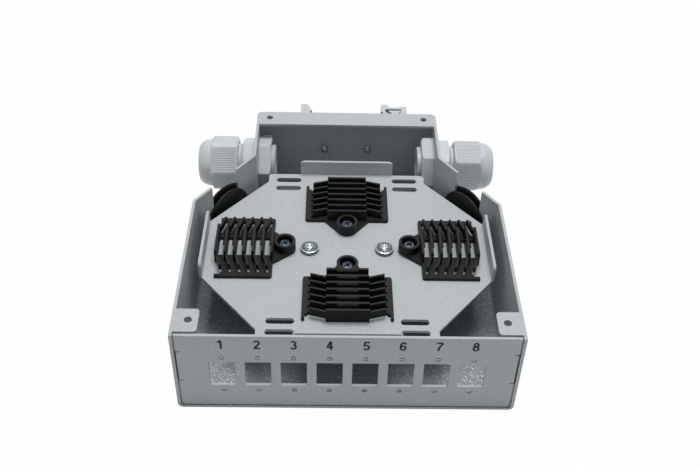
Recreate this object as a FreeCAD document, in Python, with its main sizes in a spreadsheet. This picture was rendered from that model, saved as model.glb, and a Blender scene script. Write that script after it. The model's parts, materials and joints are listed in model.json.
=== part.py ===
import FreeCAD, Part
import os

import Sketcher
from FreeCAD import Placement, Rotation, Vector

# Open fibre splice box for a 35 mm mounting rail, shown with its lid off.
# Frame: origin at the middle of the base, X to the right, Y to the back, Z up.
# "From the front" means measured along Y from the front edge of the folded shell.

SIZES = {
    # folded shell
    "body_width": 130.0,
    "body_depth": 144.0,
    "body_height": 40.2,
    "neck_width": 84.0,
    "side_run": 77.0,
    "neck_run": 109.5,
    "sheet": 1.2,
    "bend_radius": 2.6,
    "floor_radius": 2.2,
    # lid fixing tabs and the rear flange
    "tab_width": 10.0,
    "tab_run": 2.2,
    "tab_length": 11.6,
    "tab_corner": 1.6,
    "lid_hole": 3.0,
    "lid_hole_inset": 6.2,
    "lid_hole_run": 8.2,
    "flange_depth": 10.0,
    "rear_hole_spacing": 72.2,
    "rear_hole_inset": 4.6,
    # notches and grommets in the angled walls
    "notch_width": 16.4,
    "notch_rise": 18.8,
    "notch_shift": 19.2,
    "grommet_outer": 31.4,
    "grommet_inner": 27.8,
    "grommet_lip": 1.0,
    "grommet_edge": 0.5,
    "grommet_fit": 0.1,
    "grommet_play": 0.025,
    # front panel
    "panel_recess": 0.3,
    "panel_gap": 0.3,
    "panel_drop": 0.3,
    "panel_tab_low": 15.7,
    "panel_tab_high": 31.1,
    "panel_tab_depth": 9.0,
    "panel_bend": 1.0,
    "relief_width": 0.5,
    "relief_length": 1.8,
    "port_pitch": 13.35,
    "port_width": 9.8,
    "port_tall": 13.1,
    "port_rise": 19.4,
    "port_screw_spacing": 18.0,
    "port_screw_hole": 2.0,
    # splice tray
    "standoff_length": 25.0,
    "tray_front_gap": 10.0,
    "tray_into_neck": 3.1,
    "tray_side_gap": 6.4,
    "tray_neck_gap": 6.8,
    "tray_past_bend": 1.9,
    "tray_end_straight": 5.7,
    "tray_corner": 1.8,
    "lip_height": 7.0,
    "front_lip_height": 5.4,
    "end_lip_width": 41.9,
    "side_lip_short": 0.4,
    "lip_corner": 2.0,
    "tie_slot_length": 11.2,
    "tie_slot_width": 3.0,
    "tie_slot_inset": 9.1,
    "tie_slot_edge": 4.3,
    "tie_slot_gap": 5.9,
    "tray_screw_spacing": 31.2,
    "standoff_flats": 7.0,
    "standoff_bore": 4.0,
    "screw_clearance": 0.1,
    "screw_side_share": 0.5,
    "screw_top_share": 0.7,
    "recess_share": 0.6,
    "recess_web_share": 0.15,
    "recess_depth_share": 0.55,
    "tray_screw_hole": 4.5,
    "tray_screw_head": 7.8,
    "tray_screw_rise": 2.5,
    "tray_screw_length": 8.0,
    # splice holders
    "boss_reach_side": 25.8,
    "boss_reach_end": 12.9,
    "boss_size": 8.8,
    "boss_rise": 5.0,
    "boss_bore": 6.6,
    "boss_floor": 1.8,
    "ear_width": 18.8,
    "holder_near": 4.7,
    "holder_width": 35.8,
    "holder_base": 1.5,
    "holder_corner": 1.2,
    "fin_pitch": 3.8,
    "fin_count": 7.0,
    "fin_thickness": 1.0,
    "fin_rise": 6.4,
    "fin_length": 16.9,
    "wing_rise": 4.9,
    "wing_length": 6.4,
    "wing_set": 0.4,
    "wing_slant": 1.89,
    "wing_thickness": 0.9,
    "wing_root": 0.2,
    "prong_width": 1.2,
    "prong_length": 2.5,
    "prong_root": 3.0,
    "nub_proud": 0.6,
    "nub_rise": 1.2,
    "nub_length": 8.3,
    "window_length": 10.8,
    "wing_gap": 0.5,
    "wing_slot_clear": 0.4,
    "slot_past_wing": 0.8,
    "holder_screw_head": 5.6,
    "holder_screw_rise": 2.0,
    "holder_screw_shank": 2.9,
    "holder_screw_length": 5.0,
    # cable glands
    "gland_run": 128.0,
    "gland_rise": 22.0,
    "gland_thread": 18.6,
    "gland_fit": 0.1,
    "gland_bore": 10.0,
    "gland_top_thread": 18.8,
    "gland_seat_wall": 2.1,
    "gland_collar_wall": 1.6,
    "gland_collar": 5.9,
    "gland_neck": 2.6,
    "lock_nut": 5.8,
    "lock_nut_wall": 2.15,
    "thread_past_nut": 1.9,
    "thread_lead": 0.6,
    "dome_nut_wall": 1.55,
    "dome_grip": 12.6,
    "dome_cap": 5.8,
    "dome_round": 4.2,
    "dome_rim_proud": 0.35,
    "dome_mouth": 10.6,
    "dome_wall": 2.2,
    "thread_overlap": 7.5,
    "corner_turn": 0.4,
    "collar_chamfer": 0.9,
    "lock_nut_chamfer": 1.1,
    "dome_low_chamfer": 0.8,
    "dome_high_chamfer": 1.6,
    "seal_bore": 8.0,
    "seal_nose": 4.0,
    "seal_taper": 1.4,
    # rail clip
    "clip_low": 5.0,
    "clip_high": 36.0,
    "clip_floor": 2.5,
    "clip_seat": 6.2,
    "clip_left": 22.0,
    "clip_right": 29.4,
    "rail_width_across": 35.0,
    "rail_lip": 1.4,
    "hook_grip": 0.9,
    "hook_top": 13.6,
    "clip_screw_spacing": 20.8,
    "clip_screw_rise": 20.6,
    "clip_screw": 3.0,
    "clip_screw_head": 5.6,
    "clip_screw_head_rise": 2.1,
    "clip_screw_sink": 3.0,
    "clip_screw_past_wall": 3.0,
    "clip_sink_clear": 0.4,
    "rail_play": 0.1,
    "rail_seat_short": 1.3,
    "runner_width": 5.6,
    "runner_step": 1.0,
    "runner_under": 1.2,
    "runner_head": 1.6,
    "hook_lead": 0.4,
    "hook_taper": 2.6,
    "latch_gap": 0.2,
    "latch_wall": 1.4,
    "latch_travel": 1.6,
    "latch_top": 11.7,
    "latch_pull": 2.6,
    "latch_roof": 1.5,
    "latch_side": 0.8,
    "ridge_low": 0.5,
    "ridge_high": 0.8,
    "ridge_back": 0.4,
    "ridge_foot": 1.4,
    "latch_hook_foot": 1.6,
    "latch_hook_rise": 0.2,
    "latch_tip_rise": 0.5,
    "latch_tip_back": 0.2,
    "latch_nose_tall": 3.2,
}

doc = FreeCAD.newDocument("splice_box")
sheet = doc.addObject("Spreadsheet::Sheet", "Sizes")
for row, (alias, value) in enumerate(SIZES.items(), start=1):
    sheet.set("A%d" % row, alias)
    sheet.set("B%d" % row, str(value))
    sheet.setAlias("B%d" % row, alias)
doc.recompute()

parts = []


def size(formula):
    """The present value of a formula written with the sheet's aliases."""
    result = sheet.evalExpression(formula.replace("Sizes.", ""))
    return float(getattr(result, "Value", result))


def new_body(label):
    """An empty body whose label names its file."""
    body = doc.addObject("PartDesign::Body", label)
    body.Label = label
    parts.append(body)
    return body


def new_sketch(body, name, plane="XY_Plane", lift=None):
    """A sketch on one of the body's own planes, moved along its normal by a formula."""
    sketch = body.newObject("Sketcher::SketchObject", name)
    support = [item for item in body.Origin.OriginFeatures if item.Role == plane][0]
    sketch.AttachmentSupport = (support, [""])
    sketch.MapMode = "FlatFace"
    if lift is not None:
        sketch.setExpression("AttachmentOffset.Base.z", lift)
    return sketch


def pin_point(sketch, geometry, vertex, across, up):
    """Hold one vertex of a sketch at a pair of formulas."""
    for kind, formula in (("DistanceX", across), ("DistanceY", up)):
        number = sketch.addConstraint(
            Sketcher.Constraint(kind, -1, 1, geometry, vertex, size(formula)))
        sketch.setExpression("Constraints[%d]" % number, formula)


def outline(sketch, points):
    """A closed outline of straight lines through pairs of formulas."""
    corners = [Vector(size(across), size(up), 0) for across, up in points]
    first = None
    for index, corner in enumerate(corners):
        end = corners[(index + 1) % len(corners)]
        number = sketch.addGeometry(Part.LineSegment(corner, end), False)
        first = number if first is None else first
    for index, (across, up) in enumerate(points):
        number = first + index
        following = first + (index + 1) % len(points)
        sketch.addConstraint(Sketcher.Constraint("Coincident", number, 2, following, 1))
        pin_point(sketch, number, 1, across, up)


def rectangle(sketch, left, low, right, high):
    """A rectangle between formulas for its four sides."""
    outline(sketch, [(left, low), (right, low), (right, high), (left, high)])


def circle(sketch, across, up, diameter):
    """A circle at a pair of formulas."""
    centre = Vector(size(across), size(up), 0)
    number = sketch.addGeometry(
        Part.Circle(centre, Vector(0, 0, 1), size(diameter) / 2), False)
    pin_point(sketch, number, 3, across, up)
    index = sketch.addConstraint(Sketcher.Constraint("Diameter", number, size(diameter)))
    sketch.setExpression("Constraints[%d]" % index, diameter)


def slot(sketch, across, up, length, width):
    """A slot with round ends that runs along the sketch's first axis."""
    left = "%s - (%s - %s) / 2" % (across, length, width)
    right = "%s + (%s - %s) / 2" % (across, length, width)
    low = "%s - %s / 2" % (up, width)
    high = "%s + %s / 2" % (up, width)
    radius = size(width) / 2
    quarter = 1.5707963267948966
    bottom = sketch.addGeometry(Part.LineSegment(
        Vector(size(left), size(low), 0), Vector(size(right), size(low), 0)), False)
    right_end = sketch.addGeometry(Part.ArcOfCircle(
        Part.Circle(Vector(size(right), size(up), 0), Vector(0, 0, 1), radius),
        -quarter, quarter), False)
    top = sketch.addGeometry(Part.LineSegment(
        Vector(size(right), size(high), 0), Vector(size(left), size(high), 0)), False)
    left_end = sketch.addGeometry(Part.ArcOfCircle(
        Part.Circle(Vector(size(left), size(up), 0), Vector(0, 0, 1), radius),
        quarter, 3 * quarter), False)
    pin_point(sketch, bottom, 1, left, low)
    pin_point(sketch, bottom, 2, right, low)
    pin_point(sketch, top, 1, right, high)
    pin_point(sketch, top, 2, left, high)
    for line_end, arc_end in (((bottom, 2), (right_end, 1)), ((top, 1), (right_end, 2)),
                              ((top, 2), (left_end, 1)), ((bottom, 1), (left_end, 2))):
        sketch.addConstraint(Sketcher.Constraint("Coincident", *line_end, *arc_end))
    for arc, place in ((right_end, right), (left_end, left)):
        index = sketch.addConstraint(
            Sketcher.Constraint("DistanceX", -1, 1, arc, 3, size(place)))
        sketch.setExpression("Constraints[%d]" % index, place)


def pad(body, sketch, length, name, reverse=False, midplane=False):
    """Extrude a sketch by a formula."""
    feature = body.newObject("PartDesign::Pad", name)
    feature.Profile = sketch
    feature.setExpression("Length", length)
    feature.Reversed = reverse
    feature.Midplane = midplane
    doc.recompute()
    return feature


def pocket(body, sketch, length, name, reverse=False, midplane=False):
    """Cut a sketch into the body by a formula, and make sure that it cuts something."""
    before = body.Shape.Volume
    feature = body.newObject("PartDesign::Pocket", name)
    feature.Profile = sketch
    feature.setExpression("Length", length)
    feature.Reversed = reverse
    feature.Midplane = midplane
    doc.recompute()
    if not body.Shape.Volume < before:
        raise RuntimeError("%s cuts nothing" % name)
    return feature


def edge_names(shape, wanted):
    """Names of the edges whose centre, direction and length pass a test."""
    names = []
    for number, edge in enumerate(shape.Edges, start=1):
        ends = [vertex.Point for vertex in edge.Vertexes]
        if len(ends) == 2 and wanted(ends[0], ends[1], edge):
            names.append("Edge%d" % number)
    return names


def fillet(body, wanted, radius, name):
    """Round the body's edges that pass a test."""
    feature = body.newObject("PartDesign::Fillet", name)
    base = body.Tip if body.Tip is not feature else feature.BaseFeature
    feature.Base = (base, edge_names(base.Shape, wanted))
    feature.setExpression("Radius", radius)
    doc.recompute()
    return feature


def upright(start, end):
    """True for an edge that runs along Z."""
    return abs(start.x - end.x) + abs(start.y - end.y) < 0.001


def near(value, target):
    """True for two lengths that agree within a hundredth."""
    return abs(value - target) < 0.01


FRONT = "(-Sizes.body_depth / 2)"
REAR = "(Sizes.body_depth / 2)"
SIDE = "(Sizes.body_width / 2)"
NECK = "(Sizes.neck_width / 2)"
SIDE_END = "(%s + Sizes.side_run)" % FRONT
NECK_START = "(%s + Sizes.neck_run)" % FRONT
TRAY_TOP = "(2 * Sizes.sheet + Sizes.standoff_length)"
TRAY_MIDDLE = "((Sizes.neck_run + Sizes.tray_into_neck + Sizes.tray_front_gap) / 2)"
TRAY_Y = "(%s + %s)" % (FRONT, TRAY_MIDDLE)
TRAY_END = "((Sizes.neck_run + Sizes.tray_into_neck - Sizes.tray_front_gap) / 2)"
GLAND_Y = "(%s + Sizes.gland_run)" % FRONT
COLLAR_FLATS = "(Sizes.gland_top_thread + 2 * Sizes.gland_collar_wall)"
LOCK_NUT_FLATS = "(Sizes.gland_thread + Sizes.gland_fit + 2 * Sizes.lock_nut_wall)"
DOME_FLATS = "(Sizes.gland_top_thread + Sizes.gland_fit + 2 * Sizes.dome_nut_wall)"
DOME_LOW = "(Sizes.gland_collar + Sizes.gland_neck)"
THREAD_TOP = "(%s + Sizes.thread_overlap)" % DOME_LOW
SEAT = "((Sizes.gland_top_thread - 2 * Sizes.gland_seat_wall) / 2)"
SEAT_FLOOR = "(Sizes.gland_collar + 1)"


def mirrored(points):
    """The points of a half outline followed by their mirror images."""
    other = [("-(%s)" % across, up) for across, up in reversed(points)]
    return points + other


def make_housing():
    """One folded sheet: base, side walls, angled walls, neck, rear wall, tabs and flange."""
    body = new_body("housing_shell")
    plan = new_sketch(body, "shell_plan")
    outline(plan, mirrored([("-" + SIDE, FRONT), ("-" + SIDE, SIDE_END),
                            ("-" + NECK, NECK_START), ("-" + NECK, REAR)]))
    pad(body, plan, "Sizes.body_height", "shell_block")
    front = size(FRONT)
    fillet(body, lambda a, b, edge: upright(a, b) and a.y > front + 1,
           "Sizes.bend_radius", "wall_bends")
    fillet(body, lambda a, b, edge: near(a.z, 0) and near(b.z, 0)
           and not (near(a.y, front) and near(b.y, front)),
           "Sizes.floor_radius", "floor_bend")
    solid = body.Tip.Shape
    top = size("Sizes.body_height")
    open_faces = []
    for number, face in enumerate(solid.Faces, start=1):
        box = face.BoundBox
        if near(box.ZMin, top) or near(box.YMax, front):
            open_faces.append("Face%d" % number)
    shell = body.newObject("PartDesign::Thickness", "folded_sheet")
    shell.Base = (body.getObject("floor_bend"), open_faces)
    shell.setExpression("Value", "Sizes.sheet")
    shell.Reversed = True
    shell.Mode = 0
    shell.Join = 1
    doc.recompute()

    tabs = new_sketch(body, "tab_plan", lift="Sizes.body_height - Sizes.sheet")
    tab_low = "%s + Sizes.tab_run" % FRONT
    tab_high = "%s + Sizes.tab_run + Sizes.tab_length" % FRONT
    inner = "(%s - Sizes.tab_width)" % SIDE
    rectangle(tabs, "-" + SIDE, tab_low, "-" + inner, tab_high)
    rectangle(tabs, inner, tab_low, SIDE, tab_high)
    pad(body, tabs, "Sizes.sheet", "lid_tabs")
    inner_x = size(inner)
    fillet(body, lambda a, b, edge: upright(a, b) and near(abs(a.x), inner_x)
           and near(edge.Length, size("Sizes.sheet")),
           "Sizes.tab_corner", "tab_corners")

    flange = new_sketch(body, "flange_plan", lift="Sizes.body_height - Sizes.sheet")
    flange_side = "(%s - Sizes.sheet / 2)" % NECK
    flange_rear = "(%s - Sizes.sheet / 2)" % REAR
    corner = "Sizes.bend_radius / 2"
    outline(flange, mirrored([("-" + flange_side, "%s - Sizes.flange_depth" % REAR),
                              ("-" + flange_side, "%s - %s" % (flange_rear, corner)),
                              ("-%s + %s" % (flange_side, corner), flange_rear)]))
    pad(body, flange, "Sizes.sheet", "rear_flange")

    lid_holes = new_sketch(body, "lid_hole_plan", lift="Sizes.body_height")
    for sign in ("-", ""):
        circle(lid_holes, "%s(%s - Sizes.lid_hole_inset)" % (sign, SIDE),
               "%s + Sizes.lid_hole_run" % FRONT, "Sizes.lid_hole")
        circle(lid_holes, "%sSizes.rear_hole_spacing / 2" % sign,
               "%s - Sizes.rear_hole_inset" % REAR, "Sizes.lid_hole")
    pocket(body, lid_holes, "3 * Sizes.sheet", "lid_holes")

    gland_holes = new_sketch(body, "gland_hole_plan", "YZ_Plane")
    circle(gland_holes, GLAND_Y, "Sizes.gland_rise", "Sizes.gland_thread + Sizes.gland_fit")
    pocket(body, gland_holes, "Sizes.body_width", "gland_holes", midplane=True)

    clip_holes = new_sketch(body, "clip_hole_plan", "XZ_Plane", lift="-" + REAR)
    for sign in ("-", ""):
        circle(clip_holes, "%sSizes.clip_screw_spacing / 2" % sign, "Sizes.clip_screw_rise",
               "Sizes.clip_screw + Sizes.screw_clearance")
    pocket(body, clip_holes, "6 * Sizes.sheet", "clip_holes", midplane=True)

    floor_holes = new_sketch(body, "floor_hole_plan")
    for sign in ("-", ""):
        circle(floor_holes, "%sSizes.tray_screw_spacing / 2" % sign, TRAY_Y,
               "Sizes.standoff_flats")
    pocket(body, floor_holes, "4 * Sizes.sheet", "floor_holes", midplane=True)

    rise = "(%s - %s)" % (NECK_START, SIDE_END)
    step = "(%s - %s)" % (SIDE, NECK)
    for name, side, turn in (("left", "-", "atan2(%s; %s)" % (rise, step)),
                             ("right", "", "atan2(%s; -%s)" % (rise, step))):
        notch = new_sketch(body, "notch_%s" % name, "XZ_Plane")
        notch.AttachmentOffset = Placement(Vector(), Rotation(Vector(0, 1, 0), 45))
        notch.setExpression("AttachmentOffset.Rotation.Angle", turn)
        notch.setExpression("AttachmentOffset.Base.x", side + SIDE)
        notch.setExpression("AttachmentOffset.Base.z", "-" + SIDE_END)
        middle = "Sizes.notch_shift"
        low = "Sizes.notch_rise"
        half = "Sizes.notch_width / 2"
        circle(notch, middle, low, "Sizes.notch_width")
        pocket(body, notch, "8 * Sizes.sheet", "notch_round_%s" % name, midplane=True)
        throat = new_sketch(body, "throat_%s" % name, "XZ_Plane")
        throat.AttachmentOffset = Placement(Vector(), Rotation(Vector(0, 1, 0), 45))
        throat.setExpression("AttachmentOffset.Rotation.Angle", turn)
        throat.setExpression("AttachmentOffset.Base.x", side + SIDE)
        throat.setExpression("AttachmentOffset.Base.z", "-" + SIDE_END)
        rectangle(throat, "%s - %s" % (middle, half), low, "%s + %s" % (middle, half),
                  "Sizes.body_height + 1")
        pocket(body, throat, "8 * Sizes.sheet", "notch_throat_%s" % name, midplane=True)
    return body


def make_front_panel():
    """Flat plate with eight port cut-outs and a bent tab at each end."""
    body = new_body("front_panel")
    face = "-(%s + Sizes.panel_recess)" % FRONT
    edge = "(%s - Sizes.sheet - Sizes.panel_gap)" % SIDE
    wall = "(%s - Sizes.sheet)" % SIDE
    low = "(Sizes.sheet + Sizes.panel_gap)"
    high = "(Sizes.body_height - Sizes.panel_drop)"
    nick = "Sizes.floor_radius - Sizes.sheet"
    plate = new_sketch(body, "panel_face", "XZ_Plane", lift=face)
    outline(plate, mirrored([("-%s + %s" % (edge, nick), low),
                             ("-" + edge, "%s + %s" % (low, nick)), ("-" + edge, high)]))
    pad(body, plate, "Sizes.sheet", "panel_plate", reverse=True)

    tabs = new_sketch(body, "panel_tab_face", "XZ_Plane", lift=face)
    rectangle(tabs, "-" + wall, "Sizes.panel_tab_low", "-%s + Sizes.sheet" % wall,
              "Sizes.panel_tab_high")
    rectangle(tabs, "%s - Sizes.sheet" % wall, "Sizes.panel_tab_low", wall,
              "Sizes.panel_tab_high")
    pad(body, tabs, "Sizes.panel_tab_depth", "panel_tabs", reverse=True)
    wall_x = size(wall)
    face_y = -size(face)
    fillet(body, lambda a, b, edge: upright(a, b) and near(abs(a.x), wall_x)
           and near(a.y, face_y), "Sizes.panel_bend", "panel_bends")

    relief = new_sketch(body, "relief_face", "XZ_Plane", lift=face)
    for sign in ("-", ""):
        for level in ("Sizes.panel_tab_low - Sizes.relief_width", "Sizes.panel_tab_high"):
            ends = ["%s(%s + 1)" % (sign, wall), "%s(%s - Sizes.relief_length)" % (sign, edge)]
            rectangle(relief, ends[0], level, ends[1], "%s + Sizes.relief_width" % level)
    pocket(body, relief, "4 * Sizes.sheet", "relief_cuts", midplane=True)

    ports = new_sketch(body, "port_face", "XZ_Plane", lift=face)
    holes = new_sketch(body, "port_screw_face", "XZ_Plane", lift=face)
    for index in range(8):
        middle = "Sizes.port_pitch * %.1f" % (index - 3.5)
        rectangle(ports, "%s - Sizes.port_width / 2" % middle,
                  "Sizes.port_rise - Sizes.port_tall / 2",
                  "%s + Sizes.port_width / 2" % middle,
                  "Sizes.port_rise + Sizes.port_tall / 2")
        for sign in ("-", "+"):
            circle(holes, middle, "Sizes.port_rise %s Sizes.port_screw_spacing / 2" % sign,
                   "Sizes.port_screw_hole")
    pocket(body, ports, "4 * Sizes.sheet", "port_cut_outs", midplane=True)
    pocket(body, holes, "4 * Sizes.sheet", "port_screw_holes", midplane=True)
    return body


def make_tray():
    """Eight-sided plate with four upturned lips and four pairs of tie slots."""
    body = new_body("splice_tray")
    half = "(%s - Sizes.tray_side_gap)" % SIDE
    end = TRAY_END
    end_half = "(%s - Sizes.tray_neck_gap)" % NECK
    side_corner = "(Sizes.side_run + Sizes.tray_past_bend - %s)" % TRAY_MIDDLE
    end_corner = "(%s - Sizes.tray_end_straight)" % end
    plan = new_sketch(body, "tray_plan")
    left_side = [("-" + end_half, "-" + end), ("-" + end_half, "-" + end_corner),
                 ("-" + half, "-" + side_corner), ("-" + half, side_corner),
                 ("-" + end_half, end_corner), ("-" + end_half, end)]
    outline(plan, mirrored(left_side))
    pad(body, plan, "Sizes.sheet", "tray_plate", reverse=True)
    end_x = size(end_half)
    end_y = size(end)
    fillet(body, lambda a, b, edge: upright(a, b) and near(abs(a.x), end_x)
           and near(abs(a.y), end_y), "Sizes.tray_corner", "tray_corners")

    lips = new_sketch(body, "lip_plan", lift="-Sizes.sheet")
    rectangle(lips, "-Sizes.end_lip_width / 2", end, "Sizes.end_lip_width / 2",
              "%s + Sizes.sheet" % end)
    for sign in ("-", ""):
        ends = [sign + half, "%s(%s + Sizes.sheet)" % (sign, half)]
        rectangle(lips, ends[0], "-%s + Sizes.side_lip_short" % side_corner, ends[1],
                  "%s - Sizes.side_lip_short" % side_corner)
    pad(body, lips, "Sizes.lip_height + Sizes.sheet", "tray_lips")
    front_lip = new_sketch(body, "front_lip_plan", lift="-Sizes.sheet")
    rectangle(front_lip, "-Sizes.end_lip_width / 2", "-%s - Sizes.sheet" % end,
              "Sizes.end_lip_width / 2", "-" + end)
    pad(body, front_lip, "Sizes.front_lip_height + Sizes.sheet", "front_lip")

    levels = [size("Sizes.lip_height"), size("Sizes.front_lip_height")]
    thick = size("Sizes.sheet")
    fillet(body, lambda a, b, edge: near(edge.Length, thick) and near(a.z, b.z)
           and (near(a.z, levels[0]) or near(a.z, levels[1])),
           "Sizes.lip_corner", "lip_corners")
    outer_x = size("%s + Sizes.sheet" % half)
    outer_y = size("%s + Sizes.sheet" % end)
    fillet(body, lambda a, b, edge: near(a.z, -thick) and near(b.z, -thick)
           and (near(abs(a.x), outer_x) and near(abs(b.x), outer_x)
                or near(abs(a.y), outer_y) and near(abs(b.y), outer_y)),
           "Sizes.sheet", "lip_bends")

    slots = new_sketch(body, "tie_slot_plan")
    slot_outer = "(%s - Sizes.tie_slot_edge)" % end
    slot_inner = "(%s - Sizes.tie_slot_gap)" % slot_outer
    for side in ("-", ""):
        for level in ("-" + slot_outer, "-" + slot_inner, slot_outer, slot_inner):
            slot(slots, "%s(%s - Sizes.tie_slot_inset)" % (side, end_half), level,
                 "Sizes.tie_slot_length", "Sizes.tie_slot_width")
    pocket(body, slots, "4 * Sizes.sheet", "tie_slots", midplane=True)

    holes = new_sketch(body, "tray_hole_plan")
    for sign in ("-", ""):
        circle(holes, "%sSizes.tray_screw_spacing / 2" % sign, "0", "Sizes.tray_screw_hole")
        circle(holes, "%sSizes.boss_reach_side" % sign, "0",
               "Sizes.holder_screw_shank + Sizes.screw_clearance")
        circle(holes, "0", "%sSizes.boss_reach_end" % sign,
               "Sizes.holder_screw_shank + Sizes.screw_clearance")
    pocket(body, holes, "4 * Sizes.sheet", "tray_holes", midplane=True)
    body.setExpression("Placement.Base.y", TRAY_Y)
    body.setExpression("Placement.Base.z", TRAY_TOP)
    return body


def turned(label, profile, plane="XZ_Plane"):
    """A body turned about its own Z axis from a half section of formulas."""
    body = new_body(label)
    section = new_sketch(body, "%s_section" % label, plane)
    outline(section, profile)
    turn = body.newObject("PartDesign::Revolution", "%s_turn" % label)
    turn.Profile = section
    turn.ReferenceAxis = (section, ["V_Axis"])
    turn.Angle = 360
    doc.recompute()
    return body


def hexagon(sketch, flats):
    """A hexagon about the sketch's origin with a corner on its first axis."""
    corner = "(%s / 2 / cos(30))" % flats
    outline(sketch, [("%s * cos(%d)" % (corner, 60 * k), "%s * sin(%d)" % (corner, 60 * k))
                     for k in range(6)])


def cross_recess(body, across, depth, level):
    """A cross-shaped recess in a screw head."""
    recess = new_sketch(body, "%s_recess" % body.Label, lift=level)
    arm = "(%s / 2)" % across
    web = "(%s * Sizes.recess_web_share)" % across
    outline(recess, [("-" + arm, "-" + web), ("-" + web, "-" + web), ("-" + web, "-" + arm),
                     (web, "-" + arm), (web, "-" + web), (arm, "-" + web), (arm, web),
                     (web, web), (web, arm), ("-" + web, arm), ("-" + web, web),
                     ("-" + arm, web)])
    pocket(body, recess, depth, "%s_cross" % body.Label)


def pan_screw(label, shank, length, head, rise):
    """Pan head screw with a cross recess, the underside of its head at height 0."""
    body = turned(label, [("0", "-" + length), (shank, "-" + length), (shank, "0"), (head, "0"),
                          (head, "%s * Sizes.screw_side_share" % rise),
                          ("%s * Sizes.screw_top_share" % head, rise), ("0", rise)])
    cross_recess(body, "2 * %s * Sizes.recess_share" % head,
                 "%s * Sizes.recess_depth_share" % rise, rise)
    return body


def make_standoff(label, sign):
    """Hexagonal pillar whose round foot is pressed into the base."""
    body = new_body(label)
    pillar = new_sketch(body, "%s_plan" % label, lift="Sizes.sheet")
    hexagon(pillar, "Sizes.standoff_flats")
    pad(body, pillar, "Sizes.standoff_length", "%s_pillar" % label)
    foot = new_sketch(body, "%s_foot_plan" % label)
    circle(foot, "0", "0", "Sizes.standoff_flats")
    pad(body, foot, "Sizes.sheet", "%s_foot" % label)
    bore = new_sketch(body, "%s_bore_plan" % label, lift="Sizes.sheet + Sizes.standoff_length")
    circle(bore, "0", "0", "Sizes.standoff_bore")
    pocket(body, bore, "Sizes.standoff_length / 2", "%s_bore" % label)
    body.setExpression("Placement.Base.x", "%sSizes.tray_screw_spacing / 2" % sign)
    body.setExpression("Placement.Base.y", TRAY_Y)
    return body


def make_tray_screw(label, sign):
    """Screw that holds the tray on its pillar."""
    body = pan_screw(label, "((Sizes.standoff_bore - Sizes.screw_clearance) / 2)",
                     "Sizes.tray_screw_length", "(Sizes.tray_screw_head / 2)",
                     "Sizes.tray_screw_rise")
    body.setExpression("Placement.Base.x", "%sSizes.tray_screw_spacing / 2" % sign)
    body.setExpression("Placement.Base.y", TRAY_Y)
    body.setExpression("Placement.Base.z", TRAY_TOP)
    return body


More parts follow.
